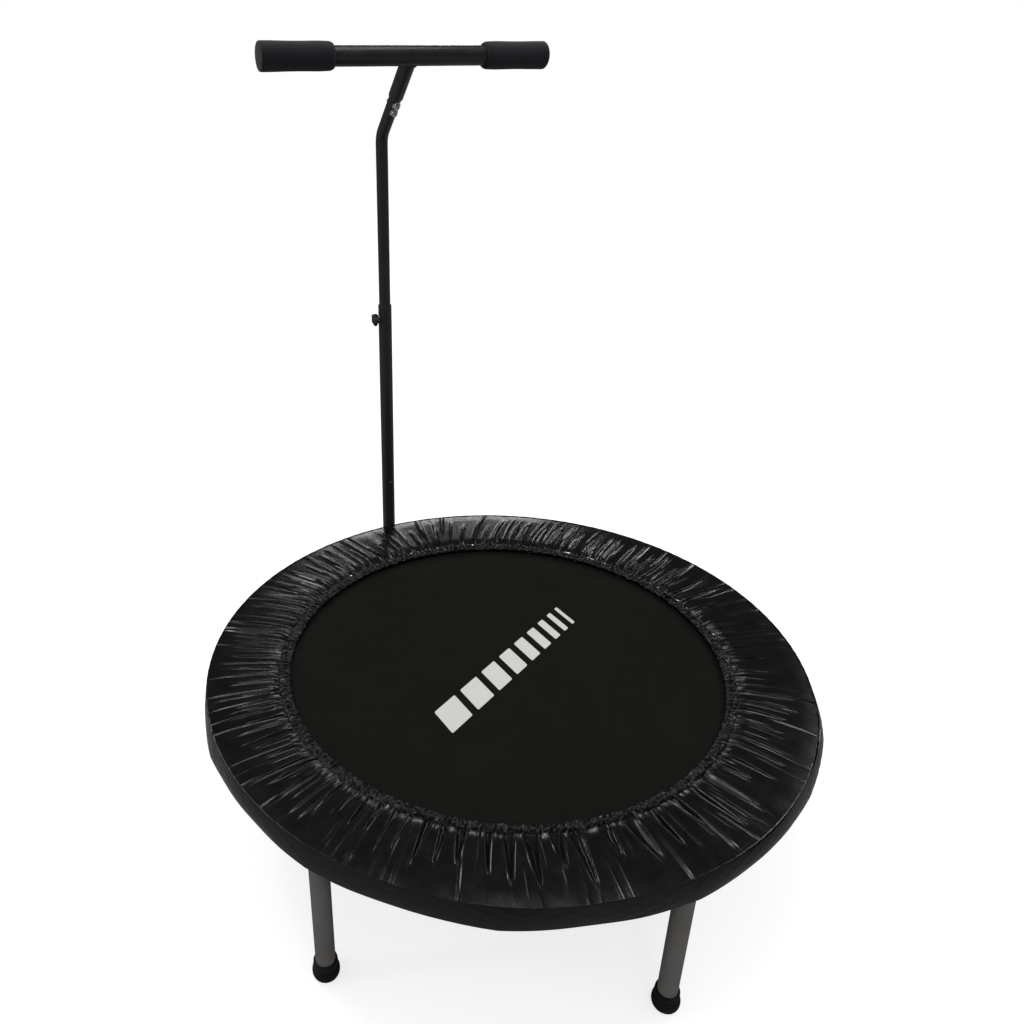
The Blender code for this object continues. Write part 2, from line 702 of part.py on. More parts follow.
# ---- assembly ---------------------------------------------------------------------------------
def main():
    for obj in list(bpy.data.objects):
        bpy.data.objects.remove(obj, do_unlink=True)

    black = make_material("black_powder_coat", (0.012, 0.012, 0.013), 0.38, 0.0)
    grey = make_material("grey_leg_paint", (0.16, 0.155, 0.145), 0.45, 0.0)
    zinc = make_material("zinc_plated_steel", (0.62, 0.64, 0.66), 0.30, 1.0)
    vinyl = make_material("black_vinyl", (0.010, 0.010, 0.012), 0.22)
    cloth = make_material("mat_cloth", (0.014, 0.013, 0.011), 0.75)
    foam = make_material("grip_foam", (0.012, 0.013, 0.016), 0.85)
    rubber = make_material("black_rubber", (0.008, 0.008, 0.009), 0.60)
    plastic = make_material("black_plastic", (0.010, 0.010, 0.010), 0.45)

    root = make_empty("trampoline", (0, FRAME_SHIFT_Y, 0))
    handle = make_empty("handle_height_axis", (0, POST_Y, 0), root)

    build_ring(root, black)
    build_legs(root, grey, rubber)
    build_mat(root, cloth)
    build_springs(root, zinc)
    build_skirt(root, vinyl)
    build_base(root, black, plastic, zinc)
    build_snap_button(root, zinc)
    build_lower_post(root, black)
    build_knob(root, plastic, zinc)
    build_upper_post(handle, black)
    build_t_bar(handle, black)
    build_grips(handle, foam)
    build_neck_fasteners(handle, zinc)


main()
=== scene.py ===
"""Looks of the mini trampoline with a T-handle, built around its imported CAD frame.

Every mesh is made in place, so an object's own coordinates are metres in the frame's space.
"""

from math import cos, pi, radians, sin, sqrt, tan, tau

import bmesh
import bpy
import numpy as np
from mathutils import Matrix, Vector


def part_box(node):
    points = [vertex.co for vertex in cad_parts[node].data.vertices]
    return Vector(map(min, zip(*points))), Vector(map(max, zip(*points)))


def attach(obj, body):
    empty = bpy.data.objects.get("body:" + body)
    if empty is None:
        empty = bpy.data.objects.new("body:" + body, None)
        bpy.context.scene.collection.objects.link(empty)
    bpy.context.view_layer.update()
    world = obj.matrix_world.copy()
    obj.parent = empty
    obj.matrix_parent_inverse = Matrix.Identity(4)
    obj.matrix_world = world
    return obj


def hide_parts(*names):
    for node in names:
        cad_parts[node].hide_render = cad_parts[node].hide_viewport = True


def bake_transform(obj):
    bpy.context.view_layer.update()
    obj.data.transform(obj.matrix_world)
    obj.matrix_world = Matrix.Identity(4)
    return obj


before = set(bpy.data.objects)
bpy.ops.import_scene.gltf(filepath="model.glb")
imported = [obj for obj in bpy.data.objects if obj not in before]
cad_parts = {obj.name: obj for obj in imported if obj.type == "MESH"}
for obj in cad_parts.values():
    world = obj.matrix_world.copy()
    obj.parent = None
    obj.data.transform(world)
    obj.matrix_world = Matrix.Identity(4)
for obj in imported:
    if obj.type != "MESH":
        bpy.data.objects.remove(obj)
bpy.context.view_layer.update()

# ---- sizes from the frame ----
MM = 0.001
mat_low, mat_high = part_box("mat")
skirt_low, skirt_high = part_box("skirt")
post_low, post_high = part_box("lower_post")
base_low, base_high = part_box("base_post")
upper_low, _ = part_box("upper_post")
bar_low, bar_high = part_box("t_bar")
grip_low, grip_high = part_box("grip_right")
knob_low, knob_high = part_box("knob")
button_low, button_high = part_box("snap_button")

CENTRE = Vector(((mat_low.x + mat_high.x) / 2, (mat_low.y + mat_high.y) / 2, 0))
MAT_R = (mat_high.x - mat_low.x) / 2
MAT_TOP = mat_high.z
HEM_R = (skirt_high.x - skirt_low.x) / 2
HEM_Z = skirt_low.z
COVER_TOP = skirt_high.z
POST_Y = base_high.y - (base_high.y - base_low.y) / 2
POST_R = post_high.y - POST_Y

# ---- sizes that the CAD uses too, in metres ----
COVER_INNER_R = 0.354
SEAM_R = 0.4855
RING_R = 0.469
RING_Z = 0.2516
TUBE_R = 0.014
LEG_TOP = 0.2327
LEG_COUNT = 6
SPRING_COUNT = 24
EYELET_R = 0.365

CLEARANCE = 0.0003
INNER_R = 0.0107
BASE_BORE_R = 0.0095
POST_BORE_R = 0.0112
BOSS_BORE_R = 0.004
BOSS_FACE = 0.0138
WASHER_R = 0.0085
WASHER_HEIGHT = 0.001
BASE_BOLTS = {"lower": 0.135, "upper": 0.175}

BEND_Z = 1.0365
BEND_RADIUS = 0.032
NECK_ANGLE = radians(45)
NECK_LENGTH = 0.1796
NECK_BOLTS = {"lower": 0.069, "upper": 0.0845}
SLEEVE_START = 0.0935
SLEEVE_R = 0.0125
CROSS_R = 0.0149
CROSS_HALF = (bar_high.x - bar_low.x) / 2

NECK_DIRECTION = Vector((0, -sin(NECK_ANGLE), cos(NECK_ANGLE)))
USER_SIDE = Vector((0, -cos(NECK_ANGLE), -sin(NECK_ANGLE)))
BEND = Vector((0, POST_Y, BEND_Z))
BAR_CENTRE = BEND + NECK_DIRECTION * NECK_LENGTH
POST_AXIS = (0, POST_Y, 0)
BUTTON_SPOT = (0, POST_Y, (button_low.z + button_high.z) / 2)
KNOB_SPOT = (0, POST_Y, (knob_low.z + knob_high.z) / 2)
KNOB_SIDE = (-1, 0, 0)


# ---- node helpers ----
def add_node(tree, kind, inputs=(), **settings):
    """Adds a node. An input is a value or another node's socket, which is linked."""
    node = tree.nodes.new(kind)
    for key, value in settings.items():
        setattr(node, key, value)
    for key, value in dict(inputs).items():
        if isinstance(value, bpy.types.NodeSocket):
            tree.links.new(value, node.inputs[key])
        else:
            node.inputs[key].default_value = value
    return node


class Shader:
    """Adds and links the nodes of one material. Noise scales are per metre, bump heights metres."""

    def __init__(self, name, slot="", roughness=0.5, metallic=0.0):
        self.material = bpy.data.materials.new(name)
        self.material.use_nodes = True
        self.tree = self.material.node_tree
        self.bsdf = self.tree.nodes["Principled BSDF"]
        self.value("Roughness", roughness)
        self.value("Metallic", metallic)
        self.coords = self.tree.nodes.new("ShaderNodeTexCoord").outputs["Object"]

    def value(self, name, number):
        self.bsdf.inputs[name].default_value = number

    def link(self, socket, name):
        self.tree.links.new(socket, self.bsdf.inputs[name])

    def add(self, kind, inputs=(), **settings):
        return add_node(self.tree, kind, inputs, **settings)

    def noise(self, scale, detail, roughness=0.55):
        inputs = {"Vector": self.coords, "Scale": scale, "Detail": detail, "Roughness": roughness}
        return self.add("ShaderNodeTexNoise", inputs).outputs["Fac"]

    def cells(self, scale):
        inputs = {"Vector": self.coords, "Scale": scale}
        return self.add("ShaderNodeTexVoronoi", inputs).outputs["Distance"]

    def ranged(self, value, low, high, from_low=0.3, from_high=0.7):
        inputs = {0: value, "From Min": from_low, "From Max": from_high, "To Min": low, "To Max": high}
        return self.add("ShaderNodeMapRange", inputs).outputs["Result"]

    def maths(self, operation, first, second=0.0):
        return self.add("ShaderNodeMath", {0: first, 1: second}, operation=operation).outputs[0]

    def mixed(self, factor, first, second):
        """Mixes two colours, the second of which may be a socket."""
        if not isinstance(second, bpy.types.NodeSocket):
            second = (*second, 1)
        inputs = {0: factor, 6: (*first, 1), 7: second}
        return self.add("ShaderNodeMix", inputs, data_type="RGBA").outputs[2]

    def colour(self, factor, first, second):
        self.link(self.mixed(factor, first, second), "Base Color")

    def cloudy(self, first, second, *noise):
        self.colour(self.ranged(self.noise(*noise), 0, 1), first, second)

    def roughness(self, low, high, *noise):
        self.link(self.ranged(self.noise(*noise), low, high), "Roughness")

    def bump(self, height, distance, strength, under=None):
        inputs = {"Height": height, "Distance": distance, "Strength": strength}
        if under is not None:
            inputs["Normal"] = under
        normal = self.add("ShaderNodeBump", inputs).outputs["Normal"]
        self.link(normal, "Normal")
        return normal


# ---- materials ----
def powder_coat():
    look = Shader("black_powder_coat")
    look.roughness(0.3, 0.46, 35, 5)
    scuffs = look.ranged(look.noise(120, 6, 0.7), 0, 1, 0.62, 0.75)
    look.colour(scuffs, (0.012, 0.012, 0.0135), (0.022, 0.022, 0.024))
    look.bump(look.noise(900, 3), 0.00008, 0.6)
    return look.material


def leg_paint():
    look = Shader("grey_leg_paint")
    look.cloudy((0.108, 0.104, 0.094), (0.136, 0.131, 0.119), 14, 5)
    look.roughness(0.34, 0.52, 60, 6, 0.7)
    look.bump(look.noise(1100, 2), 0.00006, 0.5)
    return look.material


def steel(name, dull, bright):
    look = Shader(name, "zinc_plated_steel", metallic=1.0)
    look.cloudy(dull, bright, 90, 4)
    look.roughness(0.2, 0.42, 400, 5, 0.7)
    look.bump(look.noise(1500, 3), 0.00005, 0.5)
    return look.material


def vinyl(name, shine, roughness_low, roughness_high):
    look = Shader(name, "black_vinyl")
    look.value("Specular IOR Level", shine)
    look.cloudy((0.0014, 0.0014, 0.0015), (0.0026, 0.0026, 0.0029), 18, 5)
    look.roughness(roughness_low, roughness_high, 40, 6, 0.65)
    ripple = look.bump(look.noise(110, 4, 0.5), 0.0001, 0.6)
    look.bump(look.cells(1600.0), 0.00003, 0.5, ripple)
    return look.material


def woven(name, dark, light, threads_per_metre, roughness, thread_height, shine=0.5):
    """Plain weave: two crossed sine ridges, with the upper one alternating like a checkerboard."""
    look = Shader(name, "mat_cloth")
    look.value("Specular IOR Level", shine)
    position = look.add("ShaderNodeSeparateXYZ", {0: look.coords})
    sines = []
    for axis in ("X", "Y"):
        turns = look.maths("MULTIPLY", position.outputs[axis], threads_per_metre * pi)
        sines.append(look.maths("SINE", turns))
    over = look.maths("GREATER_THAN", look.maths("MULTIPLY", *sines), 0.0)
    ridges = [look.maths("ABSOLUTE", sine) for sine in sines]
    upper = look.add("ShaderNodeMix", {0: over, 2: ridges[0], 3: ridges[1]}).outputs[0]
    halves = [look.maths("MULTIPLY", part, 0.5) for part in (upper, look.noise(9, 4))]
    look.colour(look.maths("ADD", *halves), dark, light)
    look.roughness(roughness - 0.06, roughness + 0.08, 25, 5)
    look.bump(upper, thread_height, 0.6)
    return look.material


def foam():
    look = Shader("grip_foam", roughness=0.9)
    look.cloudy((0.0045, 0.0046, 0.007), (0.0075, 0.0077, 0.0112), 30, 5)
    look.value("Sheen Weight", 0.08)
    look.value("Sheen Roughness", 0.6)
    look.value("Specular IOR Level", 0.3)
    soft = look.bump(look.noise(140, 4), 0.0004, 0.4)
    look.bump(look.cells(1300.0), 0.0003, 0.7, soft)
    return look.material


def rubber():
    look = Shader("black_rubber")
    dust = look.ranged(look.noise(45, 6, 0.7), 0, 1, 0.45, 0.8)
    look.colour(dust, (0.0024, 0.0024, 0.0026), (0.006, 0.0058, 0.0056))
    look.roughness(0.5, 0.72, 80, 4)
    look.bump(look.noise(700, 4), 0.00015, 0.5)
    return look.material


def plastic():
    look = Shader("black_plastic")
    look.colour(look.noise(60, 4), (0.009, 0.009, 0.009), (0.014, 0.014, 0.015))
    look.roughness(0.34, 0.52, 70, 5)
    look.bump(look.noise(1600, 2), 0.00008, 0.6)
    return look.material


def thread():
    look = Shader("sewing_thread", "mat_cloth", roughness=0.7)
    look.colour(look.noise(500, 3), (0.02, 0.02, 0.021), (0.05, 0.05, 0.052))
    look.bump(look.noise(2500, 2), 0.0001, 0.7)
    return look.material


BLACK = powder_coat()
GREY = leg_paint()
ZINC = steel("zinc_plated_steel", (0.55, 0.58, 0.6), (0.72, 0.73, 0.72))
# A darker copy of the zinc for the snap button's pin: painted shade.
ZINC_IN_PAINTED_SHADE = steel("zinc_in_painted_shade", (0.16, 0.16, 0.16), (0.24, 0.24, 0.25))
VINYL = vinyl("black_vinyl", 0.5, 0.19, 0.28)
HEM_VINYL = vinyl("black_hem_vinyl", 0.28, 0.22, 0.34)
CLOTH = woven("mat_cloth", (0.0029, 0.0028, 0.0019), (0.0056, 0.0054, 0.0039), 620, 0.75, 0.00022, 0.1)
WEBBING = woven("edge_webbing", (0.01, 0.01, 0.01), (0.02, 0.02, 0.021), 900, 0.8, 0.0004)
INK = woven("printed_ink", (0.4, 0.4, 0.375), (0.54, 0.54, 0.51), 620, 0.55, 0.00015)
FOAM = foam()
RUBBER = rubber()
PLASTIC = plastic()
THREAD = thread()


# ---- mesh helpers ----
def add_object(name, data):
    new = bpy.data.objects.new(name, data)
    bpy.context.scene.collection.objects.link(new)
    return new


def mesh_from(name, bm):
    bmesh.ops.recalc_face_normals(bm, faces=bm.faces)
    mesh = bpy.data.meshes.new(name)
    bm.to_mesh(mesh)
    bm.free()
    return mesh


def finish_mesh(name, bm, material, body, node="", sharp=40):
    """Makes the bmesh a shaded piece that rides on a body and may replace a node of the frame."""
    mesh = mesh_from(name, bm)
    mesh.shade_smooth()
    mesh.set_sharp_from_angle(angle=radians(sharp))
    mesh.materials.append(material)
    piece = add_object(name, mesh)
    if body is not None:
        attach(piece, body)
    if node:
        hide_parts(node)
    return piece


def rounded(points, steps=5):
    """Fillets the corners of an outline. A point is (x, y) or (x, y, fillet)."""
    result = []
    for i, point in enumerate(points):
        here = Vector(point[:2])
        fillet = point[2] if len(point) > 2 else 0
        if fillet <= 0:
            result.append(here)
            continue
        before = (Vector(points[i - 1][:2]) - here).normalized()
        after = (Vector(points[(i + 1) % len(points)][:2]) - here).normalized()
        start = here + before * fillet
        end = here + after * fillet
        for k in range(steps + 1):
            t = k / steps
            result.append(start * (1 - t) ** 2 + here * 2 * t * (1 - t) + end * t * t)
    return result


def rod_profile(radius, start, end):
    """Half section of a solid cylinder."""
    return [(0, start), (radius, start), (radius, end), (0, end)]


def ring_profile(inner, outer, start, end, fillets):
    """Half section of a ring. The fillets are for inner and outer start, then outer and inner end."""
    corners = ((inner, start), (outer, start), (outer, end), (inner, end))
    return [(*corner, fillet) for corner, fillet in zip(corners, fillets)]


def stand(bm, at, towards):
    """Moves a bmesh made along Z so that its Z runs in a direction from a point."""
    turn = Vector(towards).to_track_quat("Z", "Y").to_matrix().to_4x4()
    bm.transform(Matrix.Translation(Vector(at)) @ turn)
    return bm


def add_ring(bm, points):
    return [bm.verts.new((r * cos(angle), r * sin(angle), z)) for r, angle, z in points]


def skin(bm, rings, loop=False):
    """Faces between neighbouring rings of vertices, closed by caps or back to the first ring. A ring
    may be a single vertex."""
    for first, second in zip(rings, rings[1:] + (rings[:1] if loop else [])):
        for k in range(max(len(first), len(second))):
            a = [first[k - 1], first[k]] if len(first) > 1 else first
            b = [second[k], second[k - 1]] if len(second) > 1 else second
            if len(a + b) > 2:
                bm.faces.new(a + b)
    for ring in () if loop else (rings[0], rings[-1]):
        if len(ring) > 1:
            bm.faces.new(ring)


def lathe_bmesh(points, steps, at=(0, 0, 0), towards=(0, 0, 1)):
    """Turns a profile of (radius, height) about an axis. It is closed if it starts off the axis."""
    bm = bmesh.new()
    rings = []
    for radius, height in points:
        count = steps if radius > 0 else 1
        rings.append(add_ring(bm, [(radius, tau * k / steps, height) for k in range(count)]))
    skin(bm, rings, loop=points[0][0] > 0)
    return stand(bm, at, towards)


def lathe(name, points, material, body, node, steps, at, towards=(0, 0, 1), sharp=40):
    """A turned piece from a profile with fillets."""
    bm = lathe_bmesh(rounded(points), steps, at, towards)
    return finish_mesh(name, bm, material, body, node, sharp)


def sweep_bmesh(path, radius, sides, loop=False):
    """A round solid along a path of points, with flat ends unless it is a loop."""
    bm = bmesh.new()
    path = [Vector(point) for point in path]
    count = len(path)
    across = None
    rings = []
    for i, centre in enumerate(path):
        if loop:
            forward = (path[(i + 1) % count] - path[i - 1]).normalized()
        else:
            forward = (path[min(i + 1, count - 1)] - path[max(i - 1, 0)]).normalized()
        if across is None:
            across = forward.orthogonal().normalized()
        across = (across - forward * across.dot(forward)).normalized()
        other = forward.cross(across)
        size = radius[i] if isinstance(radius, list) else radius
        ring = []
        for k in range(sides):
            angle = tau * k / sides
            ring.append(bm.verts.new(centre + (across * cos(angle) + other * sin(angle)) * size))
        rings.append(ring)
    skin(bm, rings, loop)
    return bm


def joined(parts):
    """Several bmeshes as one."""
    result = bmesh.new()
    for part in parts:
        mesh = bpy.data.meshes.new("part")
        part.to_mesh(mesh)
        part.free()
        result.from_mesh(mesh)
        bpy.data.meshes.remove(mesh)
    return result


def polar(radius, angle, z=0.0):
    """A point around the mat's centre."""
    return CENTRE + Vector((radius * cos(angle), radius * sin(angle), z))


def spring_angles():
    return [tau * (i + 0.5) / SPRING_COUNT for i in range(SPRING_COUNT)]


def leg_angles():
    return [pi / 2 + tau * i / LEG_COUNT for i in range(LEG_COUNT)]


def cut_away(piece, tool_bmesh):
    """Cuts the bmesh out of a piece at once, and keeps no modifier."""
    tool = add_object("tool", mesh_from("tool", tool_bmesh))
    modifier = piece.modifiers.new("Boolean", "BOOLEAN")
    modifier.operation = "DIFFERENCE"
    modifier.solver = "EXACT"
    modifier.object = tool
    graph = bpy.context.evaluated_depsgraph_get()
    result = bpy.data.meshes.new_from_object(piece.evaluated_get(graph), depsgraph=graph)
    piece.modifiers.remove(modifier)
    piece.data = result
    result.shade_smooth()
    result.set_sharp_from_angle(angle=radians(40))
    bpy.data.objects.remove(tool)


# ---- spring cover ----
SHEET_COLUMNS = 900
COVER_COLUMNS = 4 * SHEET_COLUMNS
STITCH_R = COVER_INNER_R + 0.019
PLEAT_R = 0.41
RIDGE_R = 0.43
PUCKER_R = 0.365
SHEAR_STIFFNESS = 0.25
FOLD_STIFFNESS = 0.06
BEND_STIFFNESS = 0.9
random = np.random.default_rng(5)
uniform = random.uniform


def smoothstep(value):
    t = np.clip(value, 0, 1)
    return t * t * (3 - 2 * t)


def bell(value, width):
    return np.exp(-((value / width) ** 2))


def wrapped(angle):
    return (angle + pi) % tau - pi


def around(theta, degrees, width):
    """A soft bump of height 1 at an angle, and its half width, both in degrees."""
    return bell(wrapped(theta - radians(degrees)), radians(width))


def angles_around(columns):
    return np.linspace(0, tau, columns, endpoint=False)


def ring_points(radius, angles, heights):
    return np.stack([radius * np.cos(angles), radius * np.sin(angles), heights], axis=-1)


def along_profile(radius, profile):
    """Height of a profile of (radius, height) at each radius."""
    radii, heights = zip(*profile)
    return np.interp(radius, radii, heights)


def waves(theta, low, high, count):
    """A smooth random function of the angle: a sum of whole-number waves."""
    total = np.zeros_like(theta)
    for wave in random.integers(low, high, count):
        total += np.sin(wave * theta + uniform(0, tau)) * uniform(0.5, 1)
    return total / sqrt(count)


def spring_moves(first, second, rest, stiffness, first_free=1.0, second_free=1.0, only_push=False):
    """How far the two ends of each spring move to bring it back to its rest length."""
    gap = second - first
    length = np.sqrt((gap * gap).sum(axis=-1, keepdims=True)) + 1e-9
    error = (length - rest) / length
    if only_push:
        error = np.minimum(error, 0)
    move = gap * (error * stiffness / (first_free + second_free))
    return move * first_free, -move * second_free


def relax_cloth(points, rest_around, rest_across, steps, pull):
    """Position-based cloth: stretch, shear and bending springs on a ring-shaped grid. Its first and
    last rows are sewn down, it is pulled down a little, and it rests on the pad at height 0."""
    rows, columns = points.shape[:2]
    free = np.ones((rows, 1, 1))
    free[0] = free[-1] = 1e-6
    shear = np.sqrt((0.5 * (rest_around[:-1] + rest_around[1:])) ** 2 + rest_across**2)
    column_numbers = np.arange(columns)
    row_numbers = np.arange(rows - 2)
    inside = slice(1, -1)

    def pull_columns(a, b, rest, stiffness, only_push):
        moves = spring_moves(points[inside, a], points[inside, b], rest, stiffness, only_push=only_push)
        points[inside, a] += moves[0]
        points[inside, b] += moves[1]

    def pull_rows(a, b, rest, stiffness, only_push):
        moves = spring_moves(points[a], points[b], rest, stiffness, free[a], free[b], only_push)
        points[a] += moves[0]
        points[b] += moves[1]

    for _ in range(steps):
        points[inside, :, 2] -= pull
        for turn in (0, 1):
            a = np.arange(turn, columns, 2)
            pull_columns(a, (a + 1) % columns, rest_around[inside, a], 1.0, False)
        for turn in (0, 1):
            a = np.arange(turn, rows - 1, 2)
            b = a + 1
            pull_rows(a, b, rest_across, 1.0, False)
            for shift in (1, -1):
                slanted = np.roll(points[b], -shift, axis=1)
                moves = spring_moves(points[a], slanted, shear[a], SHEAR_STIFFNESS, free[a], free[b])
                points[a] += moves[0]
                points[b] += np.roll(moves[1], shift, axis=1)
        for turn in (0, 2):
            a = column_numbers[(column_numbers - turn) % 4 < 2]
            pull_columns(a, (a + 2) % columns, 2 * rest_around[inside, a], FOLD_STIFFNESS, True)
            a = row_numbers[(row_numbers - turn) % 4 < 2]
            pull_rows(a, a + 2, 2 * rest_across, BEND_STIFFNESS, True)
        points[..., 2] = np.maximum(points[..., 2], 0)


def refine_cloth(points):
    """Twice the columns and twice the rows, with cubic midpoints."""
    after = np.roll(points, -1, axis=1)
    middle = (9 * (points + after) - np.roll(points, 1, axis=1) - np.roll(points, -2, axis=1)) / 16
    wide = np.empty((points.shape[0], points.shape[1] * 2, 3))
    wide[:, ::2] = points
    wide[:, 1::2] = middle
    padded = np.concatenate([2 * wide[:1] - wide[1:2], wide, 2 * wide[-1:] - wide[-2:-1]])
    middle = (9 * (padded[1:-2] + padded[2:-1]) - padded[:-3] - padded[3:]) / 16
    fine = np.empty((wide.shape[0] * 2 - 1, wide.shape[1], 3))
    fine[::2] = wide
    fine[1::2] = middle
    return fine


def gathered_sheet(inner_r, outer_r, rows, gather, reach, ripples, slack, steps, pull, shift):
    """A sheet with more cloth around than there is room for, so it buckles into folds.

    gather is the extra length at the inner edge by angle, and reach how slowly it dies out. A ripple
    (lowest and highest wave, height, where and how wide across) starts folds. steps is per grid."""
    theta = angles_around(SHEET_COLUMNS)
    across = np.linspace(0, 1, rows)[:, None]
    slant = shift * (2 * waves(theta, 2, 9, 6) + waves(theta, 10, 40, 12))
    angles = theta + slant * (1 - across)
    height = np.zeros((rows, SHEET_COLUMNS))
    for low, high, size, place, width in ripples:
        height += size * waves(theta, low, high, 26) * bell(across - place, width)
    height = np.abs(height)
    height[-1] = 0
    points = ring_points(inner_r + (outer_r - inner_r) * across, angles, height)
    for level, count in enumerate(steps):
        if level:
            points = refine_cloth(points)
        rows, columns = points.shape[:2]
        across = np.linspace(0, 1, rows)[:, None, None]
        extra = 1 + gather(angles_around(columns)[:, None]) * (1 - across) ** reach
        rest_around = (inner_r + (outer_r - inner_r) * across) * tau / columns * extra
        rest_across = (outer_r - inner_r) * slack / (rows - 1)
        relax_cloth(points, rest_around, rest_across, count // (1), pull)
    return points


def sheet_grid(sheet):
    """Angle of every column, place of every row from 0 to 1, and radius of every point of a sheet."""
    rows, columns = sheet.shape[:2]
    across = np.linspace(0, 1, rows)[:, None]
    return angles_around(columns), across, np.hypot(sheet[..., 0], sheet[..., 1])


def fold_arc(theta, across, angle):
    """Distance around the panel from a line that starts at an angle and bends a little at random."""
    bend = radians(random.normal(0, 0.3))
    return wrapped(theta - angle - bend * across**1.5) * (STITCH_R + (SEAM_R - STITCH_R) * across)


def add_crease(relief, across, arc, length, half_width, depth, lip):
    """One pleat line: a groove that narrows outwards to a point, with a raised lip on both sides."""
    left = np.clip(1 - across / length, 0, 1)
    past_edge = np.abs(arc) - half_width * left**0.8
    groove = smoothstep(-past_edge / (0.85 * half_width + 0.3 * MM) + 0.15)
    edge = bell(past_edge - 1.1 * MM, 1.2 * MM)
    relief += smoothstep(4 * left) * (lip * edge - depth * groove)


def add_ridge(relief, across, arc, start, length, height, half_width):
    """One fine raised fold."""
    along = smoothstep(5 * (across - start)) * smoothstep(4 * (start + length - across))
    relief += height * along * bell(arc, half_width)


def crease_relief(theta, across):
    """The panel's pleats, wide and deep at the front, and its fine folds, densest on the left."""
    relief = np.zeros_like(theta * across)
    angle = 0.0
    while angle < tau - 0.04:
        front = around(angle, 262, 36)
        left = around(angle, 180, 48)
        half = uniform(1.2, 2.6) + uniform(3.0, 9.5) * front
        depth = uniform(1.2, 2.6) + uniform(2.4, 5.0) * front
        lip = uniform(0.5, 1.1) + 0.2 * front
        length = uniform(0.5, 1.0) * (1 - 0.15 * front)
        arc = fold_arc(theta, across, angle)
        add_crease(relief, across, arc, length, half * MM, depth * MM, lip * MM)
        angle += (uniform(17, 34) + 13 * front - 4 * left) * MM / PLEAT_R
    angle = 0.0
    while angle < tau - 0.02:
        left = around(angle, 185, 55)
        front = around(angle, 252, 40)
        back = around(angle, 75, 45)
        start = uniform(-0.4, 0.4)
        length = uniform(0.5, 1.1) + 0.25 * left
        arc = fold_arc(theta, across, angle)
        half = uniform(1.3, 3.0) + uniform(0.0, 4.0) * back
        height = half * uniform(0.3, 0.75) * (0.9 + 0.1 * left - 0.25 * front)
        add_ridge(relief, across, arc, start, length, height * MM, half * MM)
        angle += (uniform(6, 24) - 3.5 * left + 5 * back) * MM / RIDGE_R
    return relief


def border_wave():
    """How far the line between the casing and the panel wanders in and out, for every column."""
    theta = angles_around(COVER_COLUMNS)
    wander = (waves(theta, 40, 110, 18) + 0.6 * waves(theta, 110, 240, 18)) * MM
    return wander - 4.0 * MM * around(theta, 265, 55)


def ring_grid(name, points, material=VINYL, node=""):
    """A closed ring of quads from rows and columns of points around the mat's centre."""
    rows, columns = points.shape[:2]
    points = points + np.array(CENTRE)
    index = np.arange(rows * columns).reshape(rows, columns)
    below = np.roll(index, -1, axis=0)
    corners = [index, np.roll(index, -1, axis=1), np.roll(below, -1, axis=1), below]
    faces = np.stack(corners, axis=-1).reshape(-1, 4)
    mesh = bpy.data.meshes.new(name)
    mesh.vertices.add(rows * columns)
    mesh.vertices.foreach_set("co", points.reshape(-1).astype(np.float32))
    mesh.loops.add(len(faces) * 4)
    mesh.loops.foreach_set("vertex_index", faces.reshape(-1).astype(np.int32))
    mesh.polygons.add(len(faces))
    mesh.polygons.foreach_set("loop_start", np.arange(0, len(faces) * 4, 4, dtype=np.int32))
    mesh.update(calc_edges=True)
    bm = bmesh.new()
    bm.from_mesh(mesh)
    bpy.data.meshes.remove(mesh)
    finish_mesh(name, bm, material, "frame", node, 80)


def rows_below(profile, theta):
    """Plain rings that close a sheet's underside, from a profile of (radius, height)."""
    return np.array([ring_points(r, theta, np.full_like(theta, z)) for r, z in profile])


def build_cover_panel(border):
    """The vinyl panel over its foam pad: gathered onto the casing at its inner edge, flat at the seam."""
    pad_top = (
        (0.37, 0.2603), (0.375, 0.2612), (0.38, 0.264), (0.39, 0.2652), (0.43, 0.2667),
        (0.465, 0.2677), (0.478, 0.2674), (0.49, 0.2668),
    )
    lowest = (
        (0.3745, 0.2602), (0.379, 0.2596), (0.452, 0.2598), (0.46, 0.2661),
        (0.478, 0.2661), (0.484, 0.264),
    )
    underside = ((0.4836, 0.2622), (0.4765, 0.2659), (0.462, 0.2659), (0.453, 0.2595), (0.379, 0.2588))

    def gather(angle):
        return 0.027 - 0.005 * around(angle, 190, 50) - 0.008 * around(angle, 300, 50)

    ripples = [(30, 80, 0.9 * MM, 0.1, 0.6), (80, 130, 0.5 * MM, 0.0, 0.2)]
    sheet = gathered_sheet(STITCH_R, SEAM_R - 0.001, rows=6, gather=gather, reach=0.6, ripples=ripples,
                           slack=1.0005, steps=(240, 160, 90), pull=1e-5, shift=0.006)
    theta, across, radius = sheet_grid(sheet)
    puff = waves(theta, 24, 60, 16) + 0.7 * waves(theta, 60, 110, 16) * (1 - across)
    calm = 0.8 - 0.3 * around(theta, 180, 45)
    height = sheet[..., 2] * calm + along_profile(radius, pad_top)
    height += crease_relief(theta, across) + puff * 0.55 * MM * (1 - across**4)
    height = np.maximum(height, along_profile(radius, lowest))
    turn = 1.3 * waves(theta, 4, 12, 6) + 0.35 * waves(theta, 20, 40, 12)
    turn = np.radians(turn + (0.8 - 5.0 * around(theta, 58, 22) - 3.5 * around(theta, 308, 26)))
    angles = np.arctan2(sheet[..., 1], sheet[..., 0]) + turn * across**1.4
    radius += border * (1 - across) ** 3
    rows = [ring_points(radius, angles, height), rows_below(underside, angles[-1])]
    ring_grid("cover_top_panel", np.concatenate(rows), node="skirt")


